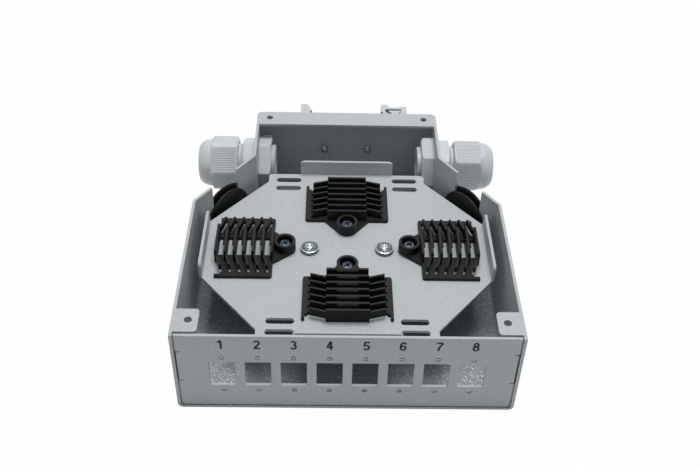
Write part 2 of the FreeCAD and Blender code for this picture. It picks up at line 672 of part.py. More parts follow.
def make_holder(label, turn, reach_x, reach_y):
    """Moulded splice holder: ear and boss, base with windows, seven fins with slanted wings."""
    body = new_body(label)
    near_edge = "Sizes.holder_near"
    last_fin = "(%s + (Sizes.fin_count - 1) * Sizes.fin_pitch)" % near_edge
    half = "(Sizes.holder_width / 2)"
    ear = "(Sizes.ear_width / 2)"
    boss = "(Sizes.boss_size / 2)"
    swing = "(atan2(%s; %s) + acos(%s / sqrt(%s ^ 2 + %s ^ 2)))" % (
        ear, near_edge, boss, near_edge, ear)
    fin_half = "(Sizes.fin_length / 2)"
    wing_end = "(%s + Sizes.wing_length)" % fin_half
    wing_face = "Sizes.wing_thickness - Sizes.wing_set"
    wing_low = "(Sizes.holder_base + Sizes.wing_gap)"
    far = "(%s + Sizes.fin_thickness)" % last_fin
    plate_end = "(%s - Sizes.prong_root)" % far
    prong_end = "(%s + Sizes.prong_length)" % plate_end
    prong_in = "(%s - Sizes.prong_width)" % half
    plan = new_sketch(body, "%s_base_plan" % label)
    side = [("%s * cos(%s)" % (boss, swing), "%s * sin(%s)" % (boss, swing)),
            (near_edge, ear), (near_edge, half), (prong_end, half), (prong_end, prong_in),
            (plate_end, prong_in), (plate_end, wing_end),
            ("%s + %s - Sizes.wing_slant" % (last_fin, wing_face), wing_end),
            ("%s + %s" % (last_fin, wing_face), fin_half), (far, fin_half)]
    outline(plan, side + [(across, "-(%s)" % up) for across, up in reversed(side)])
    pad(body, plan, "Sizes.holder_base", "%s_base" % label)
    near_x = size(near_edge)
    half_y = size(half)
    fillet(body, lambda a, b, edge: upright(a, b) and near(a.x, near_x)
           and near(abs(a.y), half_y), "Sizes.holder_corner", "%s_corners" % label)

    window = new_sketch(body, "%s_window_plan" % label)
    for index in range(int(SIZES["fin_count"]) - 1):
        start = "%s + Sizes.fin_thickness + %d * Sizes.fin_pitch" % (near_edge, index)
        rectangle(window, start, "-Sizes.window_length / 2",
                  "%s + Sizes.fin_pitch - Sizes.fin_thickness" % start,
                  "Sizes.window_length / 2")
    pocket(body, window, "4 * Sizes.holder_base", "%s_windows" % label, midplane=True)

    fins = new_sketch(body, "%s_fin_plan" % label)
    wings = new_sketch(body, "%s_wing_plan" % label, lift=wing_low)
    slots = new_sketch(body, "%s_slot_plan" % label)
    root = "(%s - Sizes.wing_root)" % fin_half
    slot_end = "(%s + Sizes.slot_past_wing)" % wing_end
    slot_slant = "Sizes.wing_slant * (1 + Sizes.slot_past_wing / Sizes.wing_length)"
    for index in range(int(SIZES["fin_count"])):
        start = "%s + %d * Sizes.fin_pitch" % (near_edge, index)
        rectangle(fins, start, "-" + fin_half, "%s + Sizes.fin_thickness" % start, fin_half)
        if index == 0:
            continue
        for sign in ("-", ""):
            outline(wings, [("%s - Sizes.wing_set" % start, sign + root),
                            ("%s + %s" % (start, wing_face), sign + root),
                            ("%s + %s - Sizes.wing_slant" % (start, wing_face), sign + wing_end),
                            ("%s - Sizes.wing_set - Sizes.wing_slant" % start, sign + wing_end)])
            slot_near = "%s - Sizes.wing_set - Sizes.wing_slot_clear" % start
            slot_far = "%s + %s" % (start, wing_face)
            outline(slots, [(slot_near, sign + fin_half), (slot_far, sign + fin_half),
                            ("%s - %s" % (slot_far, slot_slant), sign + slot_end),
                            ("%s - %s" % (slot_near, slot_slant), sign + slot_end)])
    pocket(body, slots, "4 * Sizes.holder_base", "%s_slots" % label, midplane=True)
    pad(body, fins, "Sizes.fin_rise", "%s_fins" % label)
    pad(body, wings, "Sizes.wing_rise - %s" % wing_low, "%s_wings" % label)

    nubs = new_sketch(body, "%s_nub_section" % label, "XZ_Plane")
    nub_low = "Sizes.fin_rise - Sizes.nub_rise"
    for index in range(int(SIZES["fin_count"]) - 1):
        face = "%s + Sizes.fin_thickness + %d * Sizes.fin_pitch" % (near_edge, index)
        inside = "%s - Sizes.fin_thickness / 2" % face
        outline(nubs, [(inside, nub_low), (face, nub_low),
                       ("%s + Sizes.nub_proud" % face, "Sizes.fin_rise - Sizes.nub_rise / 2"),
                       (face, "Sizes.fin_rise"), (inside, "Sizes.fin_rise")])
    pad(body, nubs, "Sizes.nub_length", "%s_nubs" % label, midplane=True)

    post = new_sketch(body, "%s_boss_plan" % label)
    circle(post, "0", "0", "Sizes.boss_size")
    pad(body, post, "Sizes.boss_rise", "%s_boss" % label)
    bore = new_sketch(body, "%s_bore_plan" % label, lift="Sizes.boss_floor")
    circle(bore, "0", "0", "Sizes.boss_bore")
    pocket(body, bore, "Sizes.boss_rise", "%s_bore" % label, reverse=True)
    hole = new_sketch(body, "%s_hole_plan" % label)
    circle(hole, "0", "0", "Sizes.holder_screw_shank + Sizes.screw_clearance")
    pocket(body, hole, "4 * Sizes.boss_floor", "%s_hole" % label, midplane=True)
    body.Placement = Placement(Vector(), Rotation(Vector(0, 0, 1), turn))
    body.setExpression("Placement.Base.x", reach_x)
    body.setExpression("Placement.Base.y", "%s + %s" % (TRAY_Y, reach_y))
    body.setExpression("Placement.Base.z", TRAY_TOP)
    return body


def make_holder_screw(label, reach_x, reach_y):
    """Small screw sunk in a holder's boss."""
    body = pan_screw(label, "(Sizes.holder_screw_shank / 2)", "Sizes.holder_screw_length",
                     "(Sizes.holder_screw_head / 2)", "Sizes.holder_screw_rise")
    body.setExpression("Placement.Base.x", reach_x)
    body.setExpression("Placement.Base.y", "%s + %s" % (TRAY_Y, reach_y))
    body.setExpression("Placement.Base.z", "%s + Sizes.boss_floor" % TRAY_TOP)
    return body


def make_grommet(label, sign):
    """Blank rubber grommet that sits in a wall's notch, turned about the hole's axis."""
    groove = "((Sizes.notch_width - Sizes.grommet_fit) / 2)"
    outer = "(Sizes.grommet_outer / 2)"
    inner = "(Sizes.grommet_inner / 2)"
    wall_in = "Sizes.grommet_play"
    wall_out = "(-Sizes.sheet - Sizes.grommet_play)"
    back = "(%s - Sizes.grommet_lip)" % wall_out
    face = "(%s + Sizes.grommet_lip)" % wall_in
    body = turned(label, [("0", back), (outer, back), (outer, wall_out), (groove, wall_out),
                          (groove, wall_in), (inner, wall_in),
                          (inner, "%s - Sizes.grommet_edge" % face),
                          ("%s - Sizes.grommet_edge" % inner, face), ("0", face)])
    rise = "(%s - %s)" % (NECK_START, SIDE_END)
    step = "(%s - %s)" % (SIDE, NECK)
    angle = "atan2(%s; %s)" % (rise, step)
    along = "(Sizes.notch_shift * cos(%s))" % angle
    inward = "(Sizes.sheet * sin(%s))" % angle
    inward_y = "(Sizes.sheet * cos(%s))" % angle
    slope = size(angle)
    heading = Vector(-1, 0, 0) if sign == "" else Vector(1, 0, 0)
    turn = -(90 - slope) if sign == "-" else (90 - slope)
    inward_direction = Rotation(Vector(0, 0, 1), turn).multVec(heading)
    body.Placement = Placement(Vector(), Rotation(Vector(0, 0, 1), inward_direction))
    body.setExpression("Placement.Base.x", "%s(%s - %s - %s)" % (sign, SIDE, along, inward))
    body.setExpression("Placement.Base.y", "%s + Sizes.notch_shift * sin(%s) - %s"
                       % (SIDE_END, angle, inward_y))
    body.setExpression("Placement.Base.z", "Sizes.notch_rise")
    return body


def seat_gland(body, sign, corner_angle):
    """Stand a gland piece on its wall: own Z outward, own X towards a corner direction."""
    outward = Vector(-1, 0, 0) if sign == "-" else Vector(1, 0, 0)
    lift = Rotation(Vector(1, 0, 0), -corner_angle)
    corner = lift.multVec(Vector(0, -1, 0))
    body.Placement = Placement(
        Vector(), Rotation(corner, outward.cross(corner), outward, "ZXY"))
    body.setExpression("Placement.Base.x", "%s%s" % (sign, NECK))
    body.setExpression("Placement.Base.y", GLAND_Y)
    body.setExpression("Placement.Base.z", "Sizes.gland_rise")


def round_corners(body, flats, name, low=None, low_chamfer=None, high=None, high_chamfer=None):
    """Turn the sharp corners of a hexagon at its lower end, its upper end or both."""
    cutter = new_sketch(body, "%s_section" % name, "XZ_Plane")
    inner = "(%s / 2 + Sizes.corner_turn)" % flats
    outer = "(%s / 2 / cos(30) + Sizes.corner_turn)" % flats
    if low is not None:
        outline(cutter, [(inner, low), (outer, low), (outer, "%s + %s" % (low, low_chamfer))])
    if high is not None:
        outline(cutter, [(inner, high), (outer, "%s - %s" % (high, high_chamfer)),
                         (outer, high)])
    groove = body.newObject("PartDesign::Groove", name)
    groove.Profile = cutter
    groove.ReferenceAxis = (cutter, ["V_Axis"])
    groove.Angle = 360
    doc.recompute()
    return groove


def make_gland_body(label, sign, corner_angle):
    """Gland body: thread through the wall, hexagon outside it, top thread for the nut."""
    thread = "(Sizes.gland_thread / 2)"
    bore = "(Sizes.gland_bore / 2)"
    inside = "-(Sizes.sheet + Sizes.lock_nut + Sizes.thread_past_nut)"
    top_thread = "(Sizes.gland_top_thread / 2)"
    body = turned(label, [(bore, inside), ("%s - Sizes.thread_lead" % thread, inside),
                          (thread, "%s + Sizes.thread_lead" % inside), (thread, "0"),
                          (top_thread, "0"), (top_thread, THREAD_TOP), (SEAT, THREAD_TOP),
                          (SEAT, SEAT_FLOOR), (bore, SEAT_FLOOR)])
    collar = new_sketch(body, "%s_hex_plan" % label)
    hexagon(collar, COLLAR_FLATS)
    circle(collar, "0", "0", "Sizes.gland_top_thread - Sizes.gland_seat_wall")
    pad(body, collar, "Sizes.gland_collar", "%s_hex" % label)
    round_corners(body, COLLAR_FLATS, "%s_hex_corners" % label,
                  high="Sizes.gland_collar", high_chamfer="Sizes.collar_chamfer")
    seat_gland(body, sign, corner_angle)
    return body


def make_lock_nut(label, sign, corner_angle):
    """Flat hexagonal nut on the inner face of the wall."""
    body = new_body(label)
    plan = new_sketch(body, "%s_plan" % label, lift="-Sizes.sheet")
    hexagon(plan, LOCK_NUT_FLATS)
    circle(plan, "0", "0", "Sizes.gland_thread + Sizes.gland_fit")
    pad(body, plan, "Sizes.lock_nut", "%s_block" % label, reverse=True)
    round_corners(body, LOCK_NUT_FLATS, "%s_corners" % label,
                  low="(-Sizes.sheet - Sizes.lock_nut)", low_chamfer="Sizes.lock_nut_chamfer")
    seat_gland(body, sign, corner_angle)
    return body


def make_dome_nut(label, sign, corner_angle):
    """Hexagonal grip with a rounded cap that squeezes the seal."""
    mid = "(%s + Sizes.dome_grip)" % DOME_LOW
    top = "(%s + Sizes.dome_cap)" % mid
    rim = "(%s / 2 + Sizes.dome_rim_proud)" % DOME_FLATS
    mouth = "(Sizes.dome_mouth / 2)"
    bore = "((Sizes.gland_top_thread + Sizes.gland_fit) / 2)"
    cap = [(bore, DOME_LOW), (rim, DOME_LOW), (rim, mid)]
    for angle in (25, 50, 75):
        cap.append(("%s - Sizes.dome_round * (1 - cos(%d))" % (rim, angle),
                    "%s + Sizes.dome_cap * sin(%d)" % (mid, angle)))
    cap += [("%s - Sizes.dome_round" % rim, top), (mouth, top),
            (mouth, "%s - Sizes.dome_wall" % top), (bore, THREAD_TOP)]
    body = turned(label, cap)
    grip = new_sketch(body, "%s_grip_plan" % label, lift=DOME_LOW)
    hexagon(grip, DOME_FLATS)
    circle(grip, "0", "0", "%s - Sizes.dome_nut_wall" % DOME_FLATS)
    pad(body, grip, "Sizes.dome_grip", "%s_grip" % label)
    round_corners(body, DOME_FLATS, "%s_corners" % label,
                  low=DOME_LOW, low_chamfer="Sizes.dome_low_chamfer",
                  high=mid, high_chamfer="Sizes.dome_high_chamfer")
    seat_gland(body, sign, corner_angle)
    return body


def make_seal(label, sign):
    """Rubber sleeve held between the gland body and the dome nut."""
    outer = "(%s - Sizes.gland_fit / 2)" % SEAT
    bore = "(Sizes.seal_bore / 2)"
    nose = "(%s + Sizes.seal_nose)" % THREAD_TOP
    body = turned(label, [(bore, SEAT_FLOOR), (outer, SEAT_FLOOR), (outer, THREAD_TOP),
                          ("%s - Sizes.seal_taper" % outer, nose), (bore, nose)])
    seat_gland(body, sign, 0)
    return body


WALL_OUT = REAR
CLIP_TALL = "Sizes.clip_high - Sizes.clip_low"
RAIL_HALF = "(Sizes.rail_width_across / 2)"
RUNNER_LEFT = "(%s + Sizes.latch_wall + Sizes.latch_travel + Sizes.latch_gap)" % RAIL_HALF
RUNNER_RIGHT = "(%s + Sizes.runner_width)" % RUNNER_LEFT
RUNNER_LOW = "(Sizes.clip_seat + Sizes.runner_under)"
RAIL_FACE = "(Sizes.clip_seat + Sizes.rail_lip)"


def behind(offset):
    """Formula for a distance behind the rear wall's outer face."""
    return "%s + %s" % (WALL_OUT, offset)


def make_clip_base():
    """Moulded clip: floor on the rear wall, rail seat, fixed hook and T-shaped runner."""
    body = new_body("rail_clip_base")
    hook_in = "-(%s - Sizes.hook_grip)" % RAIL_HALF
    groove = "-(%s + Sizes.rail_play)" % RAIL_HALF
    seat_end = "(%s - Sizes.rail_seat_short)" % RAIL_HALF
    head_high = "(%s + Sizes.runner_head)" % RUNNER_LOW
    section = new_sketch(body, "clip_section", lift="Sizes.clip_low")
    outline(section, [
        ("-Sizes.clip_left", behind("0")), ("Sizes.clip_right", behind("0")),
        ("Sizes.clip_right", behind("Sizes.clip_floor")),
        ("%s - Sizes.runner_step" % RUNNER_RIGHT, behind("Sizes.clip_floor")),
        ("%s - Sizes.runner_step" % RUNNER_RIGHT, behind(RUNNER_LOW)),
        (RUNNER_RIGHT, behind(RUNNER_LOW)), (RUNNER_RIGHT, behind(head_high)),
        (RUNNER_LEFT, behind(head_high)), (RUNNER_LEFT, behind(RUNNER_LOW)),
        ("%s + Sizes.runner_step" % RUNNER_LEFT, behind(RUNNER_LOW)),
        ("%s + Sizes.runner_step" % RUNNER_LEFT, behind("Sizes.clip_floor")),
        (seat_end, behind("Sizes.clip_floor")), (seat_end, behind("Sizes.clip_seat")),
        (groove, behind("Sizes.clip_seat")),
        (groove, behind(RAIL_FACE)), (hook_in, behind("%s + Sizes.hook_lead" % RAIL_FACE)),
        ("%s - Sizes.hook_taper" % hook_in, behind("Sizes.hook_top")),
        ("-Sizes.clip_left", behind("Sizes.hook_top"))])
    pad(body, section, CLIP_TALL, "clip_profile")
    sinks = new_sketch(body, "clip_sink_face", "XZ_Plane", lift="-(%s)" % behind("Sizes.clip_seat"))
    holes = new_sketch(body, "clip_screw_face", "XZ_Plane", lift="-(%s)" % behind("0"))
    for sign in ("-", ""):
        circle(sinks, "%sSizes.clip_screw_spacing / 2" % sign, "Sizes.clip_screw_rise",
               "Sizes.clip_screw_head + Sizes.clip_sink_clear")
        circle(holes, "%sSizes.clip_screw_spacing / 2" % sign, "Sizes.clip_screw_rise",
               "Sizes.clip_screw + Sizes.screw_clearance")
    pocket(body, sinks, "Sizes.clip_screw_sink", "clip_screw_sinks", reverse=True)
    pocket(body, holes, "4 * Sizes.clip_seat", "clip_screw_holes", midplane=True)
    return body


def make_clip_latch():
    """Sliding latch that runs over the clip's T-shaped runner."""
    body = new_body("rail_clip_latch")
    nose = "(%s - Sizes.hook_grip)" % RAIL_HALF
    left = "(%s + Sizes.rail_play)" % RAIL_HALF
    wall = "(%s + Sizes.latch_wall)" % RAIL_HALF
    shelf = "(%s + Sizes.runner_step)" % wall
    right = "(%s + Sizes.latch_gap)" % RUNNER_RIGHT
    pull = "(%s + Sizes.latch_pull)" % right
    side = "(%s - Sizes.latch_side)" % right
    low = "(Sizes.clip_floor + Sizes.latch_gap)"
    foot = "(%s - Sizes.latch_gap)" % RUNNER_LOW
    ceiling = "(Sizes.latch_top - Sizes.latch_roof)"
    section = new_sketch(body, "latch_section", lift="Sizes.clip_low")
    outline(section, [
        (left, behind(low)), (shelf, behind(low)), (shelf, behind(foot)),
        (wall, behind(foot)), (wall, behind(ceiling)), (right, behind(ceiling)),
        (right, behind(foot)), (side, behind(foot)), (side, behind(low)), (pull, behind(low)),
        (pull, behind("Sizes.latch_top + Sizes.ridge_low")),
        ("%s - Sizes.ridge_back" % right, behind("Sizes.latch_top + Sizes.ridge_high")),
        ("%s - Sizes.ridge_foot" % right, behind("Sizes.latch_top")),
        ("%s + Sizes.latch_hook_foot" % wall, behind("Sizes.latch_top")),
        (shelf, behind("Sizes.hook_top + Sizes.latch_hook_rise")),
        ("%s - Sizes.latch_tip_back" % left, behind("Sizes.hook_top + Sizes.latch_tip_rise")),
        (nose, behind("%s + Sizes.hook_lead + Sizes.latch_nose_tall" % RAIL_FACE)),
        (nose, behind("%s + Sizes.hook_lead" % RAIL_FACE)), (left, behind(RAIL_FACE))])
    pad(body, section, CLIP_TALL, "latch_profile")
    return body


def make_clip_screw(label, sign):
    """Screw from the clip through the rear wall, its tip showing inside."""
    reach = "(Sizes.clip_seat - Sizes.clip_screw_sink + Sizes.sheet + Sizes.clip_screw_past_wall)"
    body = pan_screw(label, "(Sizes.clip_screw / 2)", reach, "(Sizes.clip_screw_head / 2)",
                     "Sizes.clip_screw_head_rise")
    body.Placement = Placement(Vector(), Rotation(Vector(1, 0, 0), -90))
    body.setExpression("Placement.Base.x", "%sSizes.clip_screw_spacing / 2" % sign)
    body.setExpression("Placement.Base.y", behind("Sizes.clip_seat - Sizes.clip_screw_sink"))
    body.setExpression("Placement.Base.z", "Sizes.clip_screw_rise")
    return body


# how far each turned piece of a gland stands round from level, in degrees
CORNER_ANGLES = {"left": {"body": 28.6, "lock_nut": 14.5, "dome_nut": 13.2},
                 "right": {"body": 44, "lock_nut": 51, "dome_nut": 44}}

make_housing()
make_front_panel()
make_tray()
for side_name, side_sign in (("left", "-"), ("right", "")):
    make_standoff("tray_standoff_%s" % side_name, side_sign)
    make_tray_screw("tray_screw_%s" % side_name, side_sign)
HOLDERS = (("rear", 90, "0", "Sizes.boss_reach_end"),
           ("front", -90, "0", "-Sizes.boss_reach_end"),
           ("left", 180, "-Sizes.boss_reach_side", "0"),
           ("right", 0, "Sizes.boss_reach_side", "0"))
for place, holder_turn, boss_x, boss_y in HOLDERS:
    make_holder("splice_holder_%s" % place, holder_turn, boss_x, boss_y)
    make_holder_screw("holder_screw_%s" % place, boss_x, boss_y)
for side_name, side_sign in (("left", "-"), ("right", "")):
    corners = CORNER_ANGLES[side_name]
    make_grommet("cable_grommet_%s" % side_name, side_sign)
    make_gland_body("gland_body_%s" % side_name, side_sign, corners["body"])
    make_lock_nut("gland_lock_nut_%s" % side_name, side_sign, corners["lock_nut"])
    make_dome_nut("gland_dome_nut_%s" % side_name, side_sign, corners["dome_nut"])
    make_seal("gland_seal_%s" % side_name, side_sign)
make_clip_base()
make_clip_latch()
for side_name, side_sign in (("left", "-"), ("right", "")):
    make_clip_screw("rail_clip_screw_%s" % side_name, side_sign)

doc.recompute()
for item in doc.Objects:
    if "Invalid" in item.State or "Error" in item.State:
        raise RuntimeError("%s is in state %s" % (item.Label, item.State))
for part in parts:
    if part.Shape.isNull() or not part.Shape.isValid() or len(part.Shape.Solids) != 1:
        raise RuntimeError("%s has no single valid solid" % part.Label)

os.makedirs("parts", exist_ok=True)
for part in parts:
    part.Shape.exportStep("parts/%s.step" % part.Label)
    print("%-24s %9.1f mm3" % (part.Label, part.Shape.Volume))
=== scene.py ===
# %% [markdown]
# # A fibre splice box for a mounting rail
#
# The box is a folded sheet of powder-coated steel, open at the top. A front panel has eight
# port cut-outs, a tray inside carries four black splice holders, and a plastic cable gland
# stands on each side of the neck. The CAD model already gives every piece its place and its
# main shape. Here each piece gets its finish, and the pieces whose looks depend on fine
# detail, such as threads, ribs and screw heads, are modelled again and take the CAD's place.

import json
from math import cos, degrees, pi, radians, sin

import bpy
from mathutils import Matrix, Vector

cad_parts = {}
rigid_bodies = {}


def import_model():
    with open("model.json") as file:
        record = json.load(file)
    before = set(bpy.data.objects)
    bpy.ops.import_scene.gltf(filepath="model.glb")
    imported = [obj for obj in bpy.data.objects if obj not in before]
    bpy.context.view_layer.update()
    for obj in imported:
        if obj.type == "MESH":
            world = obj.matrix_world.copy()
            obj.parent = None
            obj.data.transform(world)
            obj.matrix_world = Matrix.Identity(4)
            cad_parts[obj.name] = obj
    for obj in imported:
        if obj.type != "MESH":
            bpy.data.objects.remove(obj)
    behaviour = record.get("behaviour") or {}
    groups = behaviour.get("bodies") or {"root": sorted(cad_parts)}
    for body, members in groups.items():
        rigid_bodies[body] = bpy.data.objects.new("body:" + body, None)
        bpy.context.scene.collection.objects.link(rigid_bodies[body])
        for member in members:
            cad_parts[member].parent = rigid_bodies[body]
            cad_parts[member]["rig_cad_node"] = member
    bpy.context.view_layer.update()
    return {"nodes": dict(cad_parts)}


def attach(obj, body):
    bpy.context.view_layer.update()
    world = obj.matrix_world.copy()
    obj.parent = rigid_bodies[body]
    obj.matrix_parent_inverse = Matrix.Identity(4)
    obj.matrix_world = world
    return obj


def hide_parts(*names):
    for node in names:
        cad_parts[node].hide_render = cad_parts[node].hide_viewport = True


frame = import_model()
MM = 0.001


# %% [markdown]
# ## The camera
#
# The picture was taken from the front and well above. The camera's place and turn were found
# by fitting the corners of the folded box, the holes and the slots to the picture. A lens of
# about 49 mm on a full-frame sensor gives the same perspective.

# %% The camera
CAMERA_PLACE = Vector((-7.172, -305.431, 294.345)) * MM
CAMERA_PITCH, CAMERA_YAW, CAMERA_ROLL = radians(41.158), radians(1.593), radians(-1.795)
LENS, SENSOR = 48.93, 36.0

ahead = Vector((sin(CAMERA_YAW) * cos(CAMERA_PITCH), cos(CAMERA_YAW) * cos(CAMERA_PITCH),
                -sin(CAMERA_PITCH)))
level = Vector((cos(CAMERA_YAW), -sin(CAMERA_YAW), 0))
below = ahead.cross(level)
right = cos(CAMERA_ROLL) * level + sin(CAMERA_ROLL) * below
down = cos(CAMERA_ROLL) * below - sin(CAMERA_ROLL) * level
turn = Matrix((right, -down, -ahead)).transposed()

bpy.ops.object.select_all(action="DESELECT")
bpy.ops.object.camera_add(location=CAMERA_PLACE, rotation=turn.to_euler())
camera = bpy.context.active_object
camera.data.lens = LENS
camera.data.sensor_width = SENSOR
bpy.context.scene.camera = camera
bpy.context.scene.view_settings.view_transform = "Standard"
print("camera looks down by", round(degrees(CAMERA_PITCH), 1), "degrees")


# %% [markdown]
# ## Light, floor and background
#
# The photograph has soft light from a large lamp overhead and a white table, which throws
# light back onto the front panel. A big area lamp above, a weak even world and a white floor
# do the same. The background is white because rays from the camera, and rays off shiny
# surfaces, see the world and the floor as white; the world's own weak light is unchanged.

# %% Small helpers for nodes
def add_node(tree, kind, **values):
    """Add a node and set its inputs or its properties by name."""
    node = tree.nodes.new(kind)
    for key, value in values.items():
        if key in node.inputs:
            node.inputs[key].default_value = value
        else:
            setattr(node, key, value)
    return node


def seen_directly(tree):
    """A value that is 1 for rays from the camera, a mirror or through glass."""
    path = add_node(tree, "ShaderNodeLightPath")
    either = add_node(tree, "ShaderNodeMath", operation="MAXIMUM")
    every = add_node(tree, "ShaderNodeMath", operation="MAXIMUM")
    tree.links.new(path.outputs["Is Camera Ray"], either.inputs[0])
    tree.links.new(path.outputs["Is Glossy Ray"], either.inputs[1])
    tree.links.new(either.outputs[0], every.inputs[0])
    tree.links.new(path.outputs["Is Transmission Ray"], every.inputs[1])
    return every.outputs[0]


print("node helpers ready")


# %% The world
AROUND = 0.29

world = bpy.data.worlds.new("studio")
bpy.context.scene.world = world
world.use_nodes = True
tree = world.node_tree
tree.nodes.clear()
soft = add_node(tree, "ShaderNodeBackground", Color=(1, 1, 1, 1), Strength=AROUND)
white = add_node(tree, "ShaderNodeBackground", Color=(1, 1, 1, 1), Strength=1.0)
choose = add_node(tree, "ShaderNodeMixShader")
out = add_node(tree, "ShaderNodeOutputWorld")
tree.links.new(seen_directly(tree), choose.inputs[0])
tree.links.new(soft.outputs[0], choose.inputs[1])
tree.links.new(white.outputs[0], choose.inputs[2])
tree.links.new(choose.outputs[0], out.inputs["Surface"])
print("world strength", AROUND)

# %% The floor
FLOOR_SPAN = 4.0
FLOOR_WHITE = 0.975
PAPER = 0.86

bpy.ops.mesh.primitive_plane_add(size=FLOOR_SPAN, location=(0, 0, 0))
floor = bpy.context.active_object
floor.name = "floor"
paper = bpy.data.materials.new("white_paper")
paper.use_nodes = True
tree = paper.node_tree
tree.nodes.clear()
sheet_look = add_node(tree, "ShaderNodeBsdfDiffuse", Color=(PAPER, PAPER, PAPER, 1))
glow = add_node(tree, "ShaderNodeEmission", Color=(1, 1, 1, 1), Strength=1.0)
share = add_node(tree, "ShaderNodeMath", operation="MULTIPLY")
share.inputs[1].default_value = FLOOR_WHITE
blend_floor = add_node(tree, "ShaderNodeMixShader")
out = add_node(tree, "ShaderNodeOutputMaterial")
tree.links.new(seen_directly(tree), share.inputs[0])
tree.links.new(share.outputs[0], blend_floor.inputs[0])
tree.links.new(sheet_look.outputs[0], blend_floor.inputs[1])
tree.links.new(glow.outputs[0], blend_floor.inputs[2])
tree.links.new(blend_floor.outputs[0], out.inputs["Surface"])
floor.data.materials.append(paper)
print("floor", FLOOR_SPAN, "m")

# %% The lamp
LAMP_PLACE = (0.05, 0.12, 0.9)
LAMP_SIZE = 0.4
LAMP_POWER = 5.6

bpy.ops.object.light_add(type="AREA", location=LAMP_PLACE)
lamp = bpy.context.active_object
lamp.data.size = LAMP_SIZE
lamp.data.energy = LAMP_POWER
print("lamp", LAMP_POWER, "W at", LAMP_PLACE, "m")


# %% [markdown]
# ## Finishes
#
# A colour read from a picture is in sRGB, and a shader wants it linear, so a small helper
# changes it. Each finish starts from the Principled shader. Its colour is mottled between two
# close shades by a noise, and a second, finer noise gives the bump. The noises read Object
# coordinates, so they stay on the piece. A Bevel node rounds the sharp CAD edges a little in
# the shading only, which is where painted and moulded edges catch the light.

# %% Building blocks for the finishes
DRIFT_LOW, DRIFT_HIGH = 0.35, 0.65
BUMP_STRENGTH = 0.6


def shade(red, green, blue):
    """A colour as read from a picture, made linear."""
    parts = [v / 255 for v in (red, green, blue)]
    linear = [v / 12.92 if v <= 0.04045 else ((v + 0.055) / 1.055) ** 2.4 for v in parts]
    return (*linear, 1)


def new_finish(name, roughness, metal=0.0, sheen=0.5):
    """A material whose constants sit on the shader's own sockets."""
    material = bpy.data.materials.new(name)
    material.use_nodes = True
    shader = material.node_tree.nodes["Principled BSDF"]
    shader.inputs["Roughness"].default_value = roughness
    shader.inputs["Metallic"].default_value = metal
    shader.inputs["Specular IOR Level"].default_value = sheen
    return material


def mottle(material, dark, light, scale):
    """Colour that drifts between two shades."""
    tree = material.node_tree
    shader = tree.nodes["Principled BSDF"]
    place = add_node(tree, "ShaderNodeTexCoord")
    noise = add_node(tree, "ShaderNodeTexNoise", Scale=scale, Detail=4.0, Roughness=0.6)
    ramp = add_node(tree, "ShaderNodeValToRGB")
    ramp.color_ramp.elements[0].position = DRIFT_LOW
    ramp.color_ramp.elements[0].color = dark
    ramp.color_ramp.elements[1].position = DRIFT_HIGH
    ramp.color_ramp.elements[1].color = light
    tree.links.new(place.outputs["Object"], noise.inputs["Vector"])
    tree.links.new(noise.outputs["Fac"], ramp.inputs["Fac"])
    tree.links.new(ramp.outputs["Color"], shader.inputs["Base Color"])
    return ramp.outputs["Color"]


def pimple(material, scale, depth, edge=0.0):
    """Fine bump, laid over edges that are rounded in the shading."""
    tree = material.node_tree
    shader = tree.nodes["Principled BSDF"]
    place = add_node(tree, "ShaderNodeTexCoord")
    noise = add_node(tree, "ShaderNodeTexNoise", Scale=scale, Detail=2.0, Roughness=0.55)
    bump = add_node(tree, "ShaderNodeBump", Strength=BUMP_STRENGTH, Distance=depth)
    tree.links.new(place.outputs["Object"], noise.inputs["Vector"])
    tree.links.new(noise.outputs["Fac"], bump.inputs["Height"])
    if edge:
        rounded = add_node(tree, "ShaderNodeBevel", Radius=edge, samples=6)
        tree.links.new(rounded.outputs["Normal"], bump.inputs["Normal"])
    tree.links.new(bump.outputs["Normal"], shader.inputs["Normal"])


print("finish helpers ready")


# %% [markdown]
# ### Powder coat
#
# The sheet metal has a light grey powder coat. On the tray and the panel it is smooth. The box
# itself has metal flakes in its coat: faint on the walls and ears, and strong on the floor,
# where they sparkle through the outer ports. A flake is a cell of a Voronoi texture a fraction
# of a millimetre across, and the shader turns metallic there, so it sparkles only where it has
# something bright to mirror. The floor of the box also gets a darker coat colour, which is
# painted shade. Two tests pick out the floor: low down, and facing up.

# %% Masks for the flakes
FLOOR_TOP = 1.6 * MM
FACING_UP = 0.5
FLAKE_CORE = 0.4


def flake_mask(tree, scale, reach, share):
    """A value near 1 in the middles of a share of the cells."""
    place = add_node(tree, "ShaderNodeTexCoord")
    cells = add_node(tree, "ShaderNodeTexVoronoi", Scale=scale)
    dots = add_node(tree, "ShaderNodeMapRange", interpolation_type="SMOOTHSTEP")
    dots.inputs["From Min"].default_value = reach
    dots.inputs["From Max"].default_value = reach * FLAKE_CORE
    chance = add_node(tree, "ShaderNodeSeparateColor")
    some = add_node(tree, "ShaderNodeMath", operation="LESS_THAN")
    some.inputs[1].default_value = share
    both = add_node(tree, "ShaderNodeMath", operation="MULTIPLY")
    tree.links.new(place.outputs["Object"], cells.inputs["Vector"])
    tree.links.new(cells.outputs["Distance"], dots.inputs["Value"])
    tree.links.new(cells.outputs["Color"], chance.inputs["Color"])
    tree.links.new(chance.outputs["Red"], some.inputs[0])
    tree.links.new(dots.outputs["Result"], both.inputs[0])
    tree.links.new(some.outputs[0], both.inputs[1])
    return both.outputs[0]


